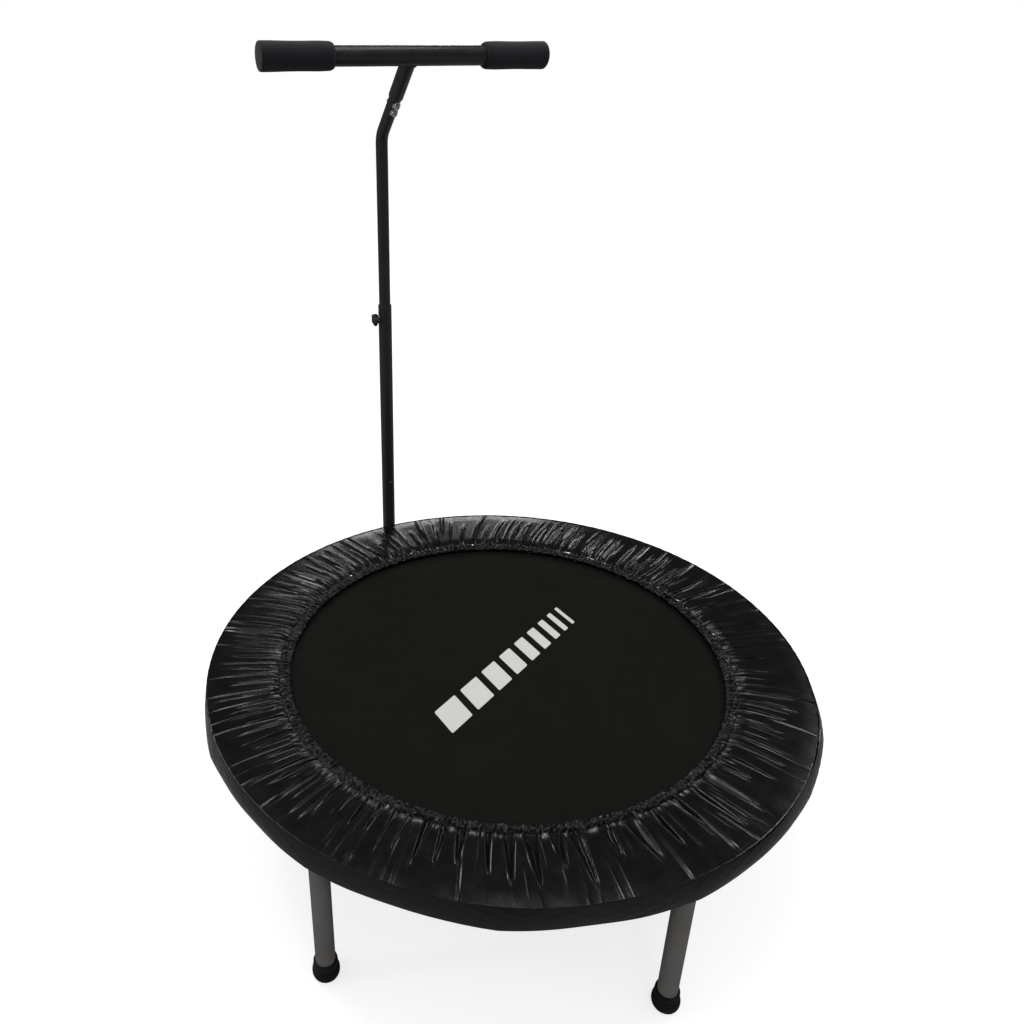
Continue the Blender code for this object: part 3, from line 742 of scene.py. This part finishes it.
def pucker_relief(theta, across):
    """Small dents across the inner hem, close together and at random."""
    relief = np.zeros_like(theta * across)
    angle = 0.0
    while angle < tau - 0.01:
        slant = random.normal(0, 0.008)
        arc = wrapped(theta - angle - slant * (across - 0.5))
        half_width = uniform(0.9, 2.0) * MM / PUCKER_R
        place = uniform(0.2, 0.9)
        along = bell(across - place, uniform(0.35, 0.8))
        relief -= uniform(1.0, 3.2) * MM * along * bell(arc, half_width)
        angle += uniform(3.5, 10) * MM / PUCKER_R
    return relief


def build_cover_casing(border):
    """The inner hem: a tube of vinyl around elastic, drawn up into small puckers."""
    outer = STITCH_R + 0.0012
    foot_z, lowest_z, crown_height = 0.2602, 0.2594, 0.003
    underside = ((outer - 0.003, 0.2586), (0.365, 0.2578), (COVER_INNER_R + 0.0022, 0.2582))

    def gather(angle):
        return 0.08 + 0.02 * around(angle, 190, 60)

    ripples = [(90, 170, 1.0 * MM, 0.5, 0.9)]
    sheet = gathered_sheet(COVER_INNER_R, outer, rows=5, gather=gather, reach=0.5, ripples=ripples,
                           slack=1.02, steps=(220, 140, 60), pull=2e-6, shift=0.003)
    theta, across, radius = sheet_grid(sheet)
    crown = np.sqrt(np.clip(1 - (2 * across - 1) ** 2, 0, 1))
    relief = pucker_relief(theta, across)
    scallop = waves(theta, 90, 180, 20) * 0.7 * MM - 0.5 * relief[:1]
    scale = 1 + (scallop * (1 - across) + border * across) / radius
    sheet[..., :2] *= scale[..., None]
    folds = sheet[..., 2] * (0.3 + 0.7 * crown) + relief * (0.2 + 0.8 * crown)
    sheet[..., 2] = np.maximum(folds + foot_z + crown_height * crown**0.7, lowest_z)
    ring_grid("cover_elastic_casing", np.concatenate([sheet, rows_below(underside, theta)]), HEM_VINYL)


def build_cover_drop():
    """The side panel: from the seam down over the frame tube, with its hem turned in on elastic."""
    steps = 14
    theta = angles_around(1080)
    from_post = np.abs(wrapped(theta - pi / 2))
    pressed = 0.0063 * smoothstep((radians(22) - from_post) / radians(14))
    between_legs = np.abs(np.sin((theta - pi / 2) * LEG_COUNT))
    hem_shape = (1.2 - 4.2 * between_legs) * MM + waves(theta, 10, 40, 8) * 0.4 * MM
    shoulder = 0
    for size, degrees, width in ((6.5, 313, 11), (2, 195, 9), (4, 285, 12), (-3, 132, 24)):
        shoulder = shoulder + size * MM * around(theta, degrees, width)
    sag = waves(theta, 6, 36, 8) * 0.6 * MM
    top_r, top_z = SEAM_R + 0.0002, COVER_TOP - 0.001
    radii, heights = [], []
    for k in range(steps + 1):
        t = k / steps
        out = (HEM_R - 0.0005 - top_r) * (0.3 * t + 0.7 * sin(pi / 2 * min(1, 1.25 * t)))
        bulge = shoulder * sin(pi * min(1, 0.15 + 0.85 * t)) ** 0.8
        crumple = (waves(theta, 30, 90, 10) + 0.6 * waves(theta, 90, 180, 10)) * 0.35 * MM
        crumple *= sin(pi * t)
        radii.append(top_r + out + hem_shape * t + bulge + crumple - pressed * t**0.8)
        heights.append(top_z * (1 - t) + (HEM_Z + sag) * t)
    hem = radii[-1]
    for inward, up in ((0.001, -0.0006), (0.0024, -0.0004), (0.0033, 0.001), (0.0036, 0.008)):
        radii.append(hem - inward)
        heights.append(HEM_Z + sag + up)
    inner_limit = RING_R + TUBE_R + 0.0006
    for radius, height in ((inner_limit, 0.252), (inner_limit, 0.26), (SEAM_R - 0.0016, 0.264)):
        radii.append(np.minimum(radius, hem - 0.003))
        heights.append(np.full_like(theta, height))
    ring_grid("cover_side_panel", ring_points(np.array(radii), theta, np.array(heights)))


def build_cover_seam():
    """The welt along the seam: a thin, slightly wavy cord with thread bumps."""
    count = 720
    path = []
    for k in range(count):
        wave = 0.25 * MM * (sin(tau * 41 * k / count) + sin(tau * 67 * k / count + 1))
        path.append(polar(SEAM_R, tau * k / count, COVER_TOP - 0.0004 + 0.3 * wave))
    radii = [0.0011 + 0.00015 * sin(tau * k / 5) for k in range(count)]
    finish_mesh("cover_seam_welt", sweep_bmesh(path, radii, 8, loop=True), VINYL, "frame")


# ---- mat ----
def stitch_row(radius, z):
    """Dashes of thread around the mat, each bent to the circle."""
    stitch_step, thread_r, dash = 0.0055, 0.0004, 0.66
    count = int(tau * radius / stitch_step)
    stitches = []
    for k in range(count):
        first = tau * k / count
        last = tau * (k + dash) / count
        path = [polar(radius, first + (last - first) * t, z) for t in (0, 0.5, 1)]
        stitches.append(sweep_bmesh(path, thread_r, 5))
    return joined(stitches)


def build_mat():
    """The woven sheet, its edge band under it with three rows of stitches, and the eyelets."""
    bottom = MAT_TOP - 0.0018
    sheet = [(radius, MAT_TOP) for radius in (0, 0.1, 0.2, 0.3)]
    sheet += [(MAT_R, MAT_TOP, 0.0008), (MAT_R, bottom, 0.0008), (0, bottom)]
    lathe("mat_sheet", sheet, CLOTH, "mat", "mat", 192, CENTRE)
    band_r = MAT_R - 0.03
    band = ring_profile(band_r, MAT_R - 0.0002, MAT_TOP - 0.002, MAT_TOP - 0.004, [0.0006] * 4)
    lathe("mat_edge_webbing", band, WEBBING, "mat", "", 192, CENTRE)
    for number, radius in enumerate((band_r + 0.004, band_r + 0.009, MAT_R - 0.004), 1):
        finish_mesh(f"mat_stitch_row_{number}", stitch_row(radius, MAT_TOP - 0.0041), THREAD, "mat")
    eyelet = ring_profile(0.0031, 0.0056, MAT_TOP - 0.0046, MAT_TOP + 0.0004, [0.0003] * 4)
    for number, angle in enumerate(spring_angles(), 1):
        lathe(f"mat_eyelet_{number:02d}", eyelet, ZINC, "mat", "", 20, polar(EYELET_R, angle))


def build_print():
    """Plain slanted bars that get narrower, in the place of the mat's print."""
    angle = radians(27)
    along = Vector((cos(angle), sin(angle), 0))
    up = Vector((-sin(angle), cos(angle), 0))
    middle = CENTRE + Vector((0.0037, -0.0125, 0))
    length, height, slant, fillet = 0.385, 0.05, 0.02, 0.003
    bottom, top = MAT_TOP + 0.00002, MAT_TOP + 0.00022
    widths = [0.052, 0.044, 0.037, 0.031, 0.026, 0.021, 0.016, 0.012, 0.008]
    gap = (length - slant - sum(widths)) / (len(widths) - 1)
    bars = []
    x = -length / 2
    for width in widths:
        lower = [(x, -height / 2, fillet), (x + width, -height / 2, fillet)]
        upper = [(x + width + slant, height / 2, fillet), (x + slant, height / 2, fillet)]
        spots = [middle + along * p.x + up * p.y for p in rounded(lower + upper, steps=4)]
        bm = bmesh.new()
        skin(bm, [[bm.verts.new((spot.x, spot.y, z)) for spot in spots] for z in (bottom, top)])
        bars.append(bm)
        x += width + gap
    finish_mesh("mat_print_bars", joined(bars), INK, "mat")


# ---- springs ----
WIRE_R = 0.0012
COIL_R = 0.0056
COIL_TURNS = 22
TURN_POINTS = 12


def spring_path(angle):
    """Hook, closed coils and hook, from the mat's eyelet out to the frame tube."""
    side = Vector((-sin(angle), cos(angle), 0))
    start, end = MAT_R + 0.009, RING_R - TUBE_R - 0.009
    lift = MAT_TOP + WIRE_R + 0.0006
    mat_hook = (
        (EYELET_R, lift - 0.0085), (EYELET_R, lift - 0.002), (EYELET_R + 0.002, lift),
        (start - 0.004, lift),
    )
    frame_hook = (
        (end + 0.004, RING_Z), (RING_R - 0.007, RING_Z), (RING_R - 0.005, RING_Z - 0.001),
        (RING_R - 0.004, RING_Z - 0.007),
    )
    count = COIL_TURNS * TURN_POINTS
    points = [polar(radius, angle, z) for radius, z in mat_hook]
    for k in range(count + 1):
        turn = tau * k / TURN_POINTS
        spread = COIL_R * min(1, (k + 2) / TURN_POINTS, (count + 2 - k) / TURN_POINTS)
        centre = polar(start + (end - start) * k / count, angle, RING_Z)
        points.append(centre + side * sin(turn) * spread + Vector((0, 0, cos(turn) * spread)))
    return points + [polar(radius, angle, z) for radius, z in frame_hook]


def build_springs():
    """Coils that stretch between the frame tube and the mat."""
    for number, angle in enumerate(spring_angles(), 1):
        coil = sweep_bmesh(spring_path(angle), WIRE_R, 6)
        spring = finish_mesh(f"spring_coil_{number:02d}", coil, ZINC, None)
        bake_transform(spring)
        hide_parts(f"spring_{number:02d}")


# ---- frame, legs and feet ----
def build_ring():
    """The frame tube, with a hole for the hook of every spring."""
    circle = []
    for k in range(24):
        angle = tau * k / 24
        circle.append((RING_R + TUBE_R * cos(angle), RING_Z + TUBE_R * sin(angle)))
    ring = finish_mesh("frame_tube", lathe_bmesh(circle, 144, CENTRE), BLACK, "frame")
    hole = rod_profile(0.0026, -0.006, 0.016)
    holes = []
    for angle in spring_angles():
        outward = Vector((cos(angle), sin(angle), 0))
        holes.append(lathe_bmesh(hole, 16, polar(RING_R - TUBE_R, angle, RING_Z), outward))
    cut_away(ring, joined(holes))
    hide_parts("frame_ring")


def build_sockets():
    """The short sockets under the ring that the legs screw into."""
    socket = [
        (0, 0.233), (0.0125, 0.233, 0.0008), (0.0125, 0.24), (0.0132, 0.2412),
        (0.0125, 0.244), (0, 0.244),
    ]
    for number, angle in enumerate(leg_angles(), 1):
        lathe(f"leg_socket_{number}", socket, BLACK, "frame", "", 40, polar(RING_R, angle))


def build_legs():
    """Six tubes, each with a rubber foot: its dome, waist and collar, then the cup inside."""
    leg_bottom, cup_floor, cup_r = 0.0066, 0.0062, TUBE_R + 0.0002
    leg = [(0, LEG_TOP), (TUBE_R, LEG_TOP, 0.001), (TUBE_R, leg_bottom), (0, leg_bottom)]
    foot = [
        (0, 0), (0.01, 0, 0.001), (0.015, 0.0016, 0.002), (0.0186, 0.0062, 0.0026),
        (0.0197, 0.012, 0.0026), (0.019, 0.0182, 0.002), (0.0166, 0.0206, 0.0012),
        (0.0165, 0.0222, 0.0006), (0.0172, 0.0236, 0.0008), (0.017, 0.032, 0.0008),
        (0.0164, 0.034, 0.0008), (cup_r, 0.034, 0.0006), (cup_r, cup_floor),
        (0, cup_floor),
    ]
    for number, angle in enumerate(leg_angles(), 1):
        spot = polar(RING_R, angle)
        lathe(f"leg_tube_{number}", leg, GREY, "frame", f"leg_{number}", 56, spot)
        lathe(f"rubber_foot_{number}", foot, RUBBER, "frame", f"foot_{number}", 64, spot, sharp=60)


# ---- fasteners ----
HEX_FLATS = 0.01
HEAD_HEIGHT = 0.004
NUT_HEIGHT = 0.005
NUT_BORE_R = 0.003
FLANGE_HEIGHT = 0.0008
FLANGE_R = 0.0074
SHANK_R = 0.0029
THREAD_LENGTH = 0.012


def hex_bmesh(start, height, at, towards, bore=0.0):
    """A hex head, or a nut with a bore, with a curved chamfer on its outer end."""
    count = 36
    apothem = HEX_FLATS / 2
    chamfer = apothem * 0.97
    end = start + height
    inside = [(bore, end), (bore, start)] if bore else [(apothem * 0.3, end - 0.0003)]
    columns = []
    for k in range(count):
        angle = tau * k / count
        outline = apothem / cos(angle % (pi / 3) - pi / 6)
        drop = max(0, outline - chamfer) * 0.6
        profile = [(outline, start), (outline, end - drop), (chamfer, end), *inside]
        columns.append([(radius, angle, z) for radius, z in profile])
    bm = bmesh.new()
    skin(bm, [add_ring(bm, row) for row in zip(*columns)], loop=bore > 0)
    return stand(bm, at, towards)


def threaded_points(radius, start, end, pitch=0.001):
    """Half section of a threaded shank, as rings of one pitch."""
    root = radius * 0.86
    points = [(0, start), (root, start)]
    count = int(abs(end - start) / pitch)
    step = (end - start) / count
    for k in range(count):
        points += [(radius, start + step * (k + 0.5)), (root, start + step * (k + 1))]
    return points + [(0, end)]


def fasten(end, place, body, at, towards, head_at, seat_at, flange=False):
    """A hex bolt and its nut. Along the bolt's direction its head starts at head_at and the nut's
    seat is at seat_at."""
    back = -Vector(towards)
    tip_at = seat_at - 0.008
    parts = [
        hex_bmesh(head_at, HEAD_HEIGHT, at, towards),
        lathe_bmesh(rod_profile(0.0056, head_at - 0.0002, head_at + 0.0006), 32, at, towards),
        lathe_bmesh(rod_profile(SHANK_R, tip_at + THREAD_LENGTH - 0.0001, head_at), 24, at, towards),
        lathe_bmesh(threaded_points(SHANK_R, tip_at, tip_at + THREAD_LENGTH), 24, at, towards),
    ]
    finish_mesh(f"{end}_hex_bolt_{place}", joined(parts), ZINC, body, f"{end}_bolt_{place}", 35)
    kind, under = ("flange", FLANGE_HEIGHT) if flange else ("hex", 0)
    parts = [hex_bmesh(under - seat_at, NUT_HEIGHT - under, at, back, NUT_BORE_R)]
    if flange:
        rim, neck = FLANGE_HEIGHT - seat_at, 2 * FLANGE_HEIGHT - seat_at
        disc = [
            (0.0031, -seat_at), (FLANGE_R, -seat_at, 0.0003), (FLANGE_R, rim, 0.0003),
            (0.0056, neck, 0.0004), (0.0031, neck),
        ]
        parts.append(lathe_bmesh(rounded(disc), 40, at, back))
    finish_mesh(f"{end}_{kind}_nut_{place}", joined(parts), ZINC, body, f"{end}_nut_{place}", 35)


# ---- lower handle ----
def build_base_tube():
    """The foot tube that stands inside the lower post, with a shoulder that the post rests on."""
    shoulder = post_low.z - CLEARANCE
    tube = [
        (BASE_BORE_R, base_low.z), (INNER_R, base_low.z, 0.0004),
        (INNER_R, shoulder - 0.0085), (POST_R, shoulder - 0.007, 0.001),
        (POST_R, shoulder, 0.0006), (INNER_R, shoulder), (INNER_R, base_high.z, 0.0004),
        (BASE_BORE_R, base_high.z),
    ]
    lathe("handle_base_tube", tube, BLACK, "frame", "base_post", 56, POST_AXIS)


def build_lower_tube():
    """The lower post, and the welded nut that the knob's screw goes through."""
    tube = ring_profile(POST_BORE_R, POST_R, post_low.z, post_high.z, (0, 0.0005, 0.0005, 0.0004))
    lathe("handle_lower_tube", tube, BLACK, "frame", "lower_post", 64, POST_AXIS)
    boss = [
        (BOSS_BORE_R, POST_R - 0.0008), (0.0082, POST_R - 0.0008),
        (0.0074, POST_R + 0.0006, 0.0005), (0.007, BOSS_FACE, 0.0004),
        (BOSS_BORE_R, BOSS_FACE, 0.0003),
    ]
    lathe("knob_weld_nut", boss, BLACK, "frame", "", 40, KNOB_SPOT, KNOB_SIDE)


def build_base_cap():
    """The plastic plug in the foot tube's lower end."""
    rim_r, plug_r = 0.0127, 0.0092
    bottom, rim, plug_top = base_low.z - 0.004, base_low.z - CLEARANCE, base_low.z + 0.01
    cap = [
        (0, bottom), (rim_r, bottom, 0.0015), (rim_r, rim, 0.0004), (plug_r, rim),
        (plug_r, plug_top, 0.0008), (0, plug_top),
    ]
    lathe("handle_base_cap", cap, PLASTIC, "frame", "base_post_cap", 48, POST_AXIS)


def build_base_fasteners():
    """Two bolts from the foot tube's back through the saddle and the leg, with nuts in front."""
    seat = CENTRE.y + RING_R - TUBE_R - CLEARANCE
    head = POST_Y + INNER_R + CLEARANCE
    for place, z in BASE_BOLTS.items():
        fasten("base", place, "frame", (0, 0, z), (0, 1, 0), head, seat)


def build_snap_button():
    """A pin with a domed end and a flange, pushed out through the post by its leaf spring."""
    pin_r, flange_r, flange_back, flange_front, tip = 0.0028, 0.0044, 0.006, 0.0074, 0.0153
    pin = [
        (0, flange_back), (flange_r, flange_back, 0.0003), (flange_r, flange_front, 0.0003),
        (pin_r, flange_front, 0.0002), (pin_r, tip, 0.0022), (0, tip),
    ]
    # The pin's zinc is darkened: painted shade.
    lathe("snap_button_pin", pin, ZINC_IN_PAINTED_SHADE, "snap_button", "snap_button", 32, BUTTON_SPOT, (0, -1, 0))


def build_knob():
    """Clamping knob with five lobes, as a wave on its radius, rounded at both faces."""
    face = BOSS_FACE + CLEARANCE + WASHER_HEIGHT + CLEARANCE
    knob_r, lobe, lobe_count = 0.0118, 0.0016, 5
    length, drawn_length = 0.009, 0.0105
    profile = [
        (0.3, 0), (0.62, 0), (0.66, 0.0018), (0.9, 0.0026), (0.985, 0.0038),
        (1.0, 0.0055), (0.985, 0.0078), (0.93, 0.0094), (0.82, 0.0104), (0.62, 0.0105),
        (0.52, 0.0098), (0.3, 0.0094),
    ]
    count = 90
    bm = bmesh.new()
    rings = []
    for scale, height in profile:
        lobes = max(0, scale - 0.45) / 0.55
        z = face + height * length / drawn_length
        ring = []
        for k in range(count):
            angle = tau * k / count
            wave = lobe * cos(lobe_count * angle) - lobe / 2
            ring.append((knob_r * scale + lobes * wave, angle, z))
        rings.append(add_ring(bm, ring))
    skin(bm, rings)
    finish_mesh("clamp_knob", stand(bm, KNOB_SPOT, KNOB_SIDE), PLASTIC, "knob", "knob", 50)
    screw = threaded_points(0.0036, INNER_R + 0.0004, face + 0.001, 0.00125)
    lathe("clamp_knob_screw", screw, ZINC, "knob", "", 32, KNOB_SPOT, KNOB_SIDE)


def build_knob_washer():
    """The washer between the welded nut and the knob."""
    back = BOSS_FACE + CLEARANCE
    fillets = (0.0002, 0.0003, 0.0003, 0.0002)
    ring = ring_profile(BOSS_BORE_R, WASHER_R, back, back + WASHER_HEIGHT, fillets)
    lathe("clamp_knob_washer", ring, ZINC, "knob_washer", "knob_washer", 40, KNOB_SPOT, KNOB_SIDE)


# ---- upper handle ----
def build_upper_tube():
    """The inner post, bent towards the user at its top."""
    steps = 16
    bend_start = BEND_Z - BEND_RADIUS * tan(NECK_ANGLE / 2)
    path = [Vector((0, POST_Y, upper_low.z))]
    for k in range(steps + 1):
        angle = NECK_ANGLE * k / steps
        y = POST_Y - BEND_RADIUS * (1 - cos(angle))
        path.append(Vector((0, y, bend_start + BEND_RADIUS * sin(angle))))
    path.append(BEND + NECK_DIRECTION * (SLEEVE_START - 0.0005))
    finish_mesh("handle_upper_tube", sweep_bmesh(path, INNER_R, 56), BLACK, "handle_top", "upper_post")


def build_t_bar():
    """The cross tube, and its sleeve over the top of the bent post."""
    half = CROSS_HALF
    tube = [(0, -half), (CROSS_R, -half, 0.0006), (CROSS_R, half, 0.0006), (0, half)]
    lathe("handle_cross_tube", tube, BLACK, "handle_top", "t_bar", 64, BAR_CENTRE, (1, 0, 0))
    start, end = 0.004, NECK_LENGTH - SLEEVE_START
    mouth_r, mouth_depth = INNER_R + 0.0001, 0.002
    sleeve = [
        (0, start), (SLEEVE_R, start), (SLEEVE_R, end, 0.0007), (mouth_r, end, 0.0003),
        (mouth_r, end - mouth_depth), (0, end - mouth_depth),
    ]
    lathe("handle_sleeve", sleeve, BLACK, "handle_top", "", 56, BAR_CENTRE, -NECK_DIRECTION)


def build_weld_bead():
    """A rippled fillet weld where the sleeve meets the cross tube."""
    count = 120
    bead_r, ripple, lift = 0.0017, 0.0003, 0.0004
    path = []
    for k in range(count):
        angle = tau * k / count
        along = (SLEEVE_R + lift) * cos(angle)
        across = (SLEEVE_R + lift) * sin(angle)
        depth = sqrt(CROSS_R**2 - across**2)
        foot = BAR_CENTRE - NECK_DIRECTION * (depth + lift)
        path.append(foot + Vector((along, 0, 0)) + USER_SIDE * across)
    radii = [bead_r + ripple * sin(tau * k / 4) for k in range(count)]
    bead = sweep_bmesh(path, radii, 10, loop=True)
    finish_mesh("handle_weld_bead", bead, BLACK, "handle_top", sharp=70)


def build_grip(side_name, side, end_fillet):
    """A foam sleeve with a slight waist, closed and rounded at its outer end."""
    inner, outer = grip_low.x, grip_high.x
    grip_r = (grip_high.z - grip_low.z) / 2
    bore_r = CROSS_R + 0.0002
    bore_end = CROSS_HALF + CLEARANCE
    points = [
        (bore_r, inner + 0.003, 0.001), (CROSS_R + 0.0022, inner, 0.0016),
        (grip_r - 0.001, inner, 0.0052), (grip_r - 0.0002, inner + 0.02, 0.008),
        (grip_r - 0.0008, inner + 0.06, 0.02), (grip_r - 0.0001, outer - 0.022, 0.008),
        (grip_r, outer - 0.006, 0.002), (grip_r - 0.0004, outer - 0.0012, end_fillet),
        (grip_r - 0.009, outer - 0.0002, 0.004), (0, outer), (0, bore_end),
        (bore_r, bore_end),
    ]
    node = f"grip_{side_name}"
    lathe(f"foam_{node}", points, FOAM, "handle_top", node, 72, BAR_CENTRE, (side, 0, 0), 60)


def build_neck_fasteners():
    """Two bolts through the bent post and the T-bar's spigot, with flange nuts on the user's side."""
    seat = INNER_R + CLEARANCE
    for place, along in NECK_BOLTS.items():
        fasten("neck", place, "handle_top", BEND + NECK_DIRECTION * along, -USER_SIDE, seat, -seat, True)


# ---- stage ----
def grey(level):
    return (level, level, level)


def build_floor():
    """A pale floor that the camera sees as white, and that shows only dimly in the glossy vinyl."""
    size = 40
    mesh = bpy.data.meshes.new("floor")
    corners = [(-size, -size, 0), (size, -size, 0), (size, size, 0), (-size, size, 0)]
    mesh.from_pydata(corners, [], [(0, 1, 2, 3)])
    floor = add_object("floor", mesh)
    look = Shader("pale_floor", roughness=0.8)
    seen = look.add("ShaderNodeLightPath").outputs["Is Camera Ray"]
    look.colour(seen, grey(0.22), look.mixed(look.noise(2, 3), grey(0.38), grey(0.42)))
    look.link(look.mixed(seen, grey(0), grey(0.72)), "Emission Color")
    look.value("Emission Strength", 1.0)
    look.value("Specular IOR Level", 0.1)
    mesh.materials.append(look.material)


def build_world():
    """Soft light from all around, dark in reflections and white to the camera."""
    world = bpy.data.worlds.new("studio")
    bpy.context.scene.world = world
    world.use_nodes = True
    world.cycles.sampling_method = "NONE"
    tree = world.node_tree
    rays = add_node(tree, "ShaderNodeLightPath").outputs
    colour = (0.78, 0.78, 0.8, 1)
    for ray, level in (("Is Glossy Ray", 0.05), ("Is Camera Ray", 1.0)):
        inputs = {0: rays[ray], 6: colour, 7: (*grey(level), 1)}
        colour = add_node(tree, "ShaderNodeMix", inputs, data_type="RGBA").outputs[2]
    tree.links.new(colour, tree.nodes["Background"].inputs["Color"])
    bpy.context.scene.view_settings.view_transform = "Standard"


def build_lights():
    """Soft boxes, given as name, place, size and power, that all point at the middle of the object."""
    boxes = (
        ("top_softbox", (0.0, -0.3, 3.2), (0.6, 0.6), 9),
        ("top_left_softbox", (-0.3, 0.8, 3.2), (0.35, 0.35), 4),
        ("back_left_softbox", (-1.3, 1.4, 3.0), (0.5, 0.5), 16),
        ("far_left_softbox", (-1.6, 3.5, 3.0), (0.4, 0.4), 12),
        ("back_strip", (2.2, 5.0, 2.5), (2.0, 0.4), 23),
        ("back_right_softbox", (4.3, 1.2, 3.0), (0.7, 0.7), 24),
        ("right_top_softbox", (2.8, -0.5, 3.0), (0.5, 0.5), 14),
        ("inner_front_softbox", (0.6, 0.45, 3.0), (0.5, 0.3), 5),
        ("left_softbox", (-2.8, 0.5, 2.0), (0.4, 0.8), 12),
        ("front_softbox", (-0.8, -3.0, 2.8), (0.8, 0.6), 8),
    )
    middle = Vector((0, 0, 0.3))
    for name, place, size, power in boxes:
        lamp = bpy.data.lights.new(name, "AREA")
        lamp.shape = "RECTANGLE"
        lamp.size, lamp.size_y = size
        lamp.energy = power
        light = add_object(name, lamp)
        light.location = place
        light.visible_camera = False
        light.rotation_euler = (middle - Vector(place)).to_track_quat("-Z", "Y").to_euler()


def build_camera():
    data = bpy.data.cameras.new("camera")
    data.lens = 31.07
    data.sensor_width = 36
    data.shift_x = 0.0871
    data.shift_y = -0.0289
    camera = add_object("camera", data)
    camera.location = (-0.621, CENTRE.y - 1.032, 1.175)
    camera.rotation_euler = (radians(63.8), 0, radians(-24.55))
    bpy.context.scene.camera = camera


# ---- everything ----
border = border_wave()
build_cover_panel(border)
build_cover_casing(border)
build_cover_drop()
build_cover_seam()
build_mat()
build_print()
build_springs()
build_ring()
build_sockets()
build_legs()
build_base_tube()
build_lower_tube()
build_base_cap()
build_base_fasteners()
build_snap_button()
build_knob()
build_knob_washer()
build_upper_tube()
build_t_bar()
build_weld_bead()
build_grip("left", -1, 0.0018)
build_grip("right", 1, 0.0042)
build_neck_fasteners()

# The saddle keeps its CAD mesh and gets the plastic look.
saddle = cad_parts["base_saddle"]
saddle.data.materials.clear()
saddle.data.materials.append(PLASTIC)

build_floor()
build_world()
build_lights()
build_camera()
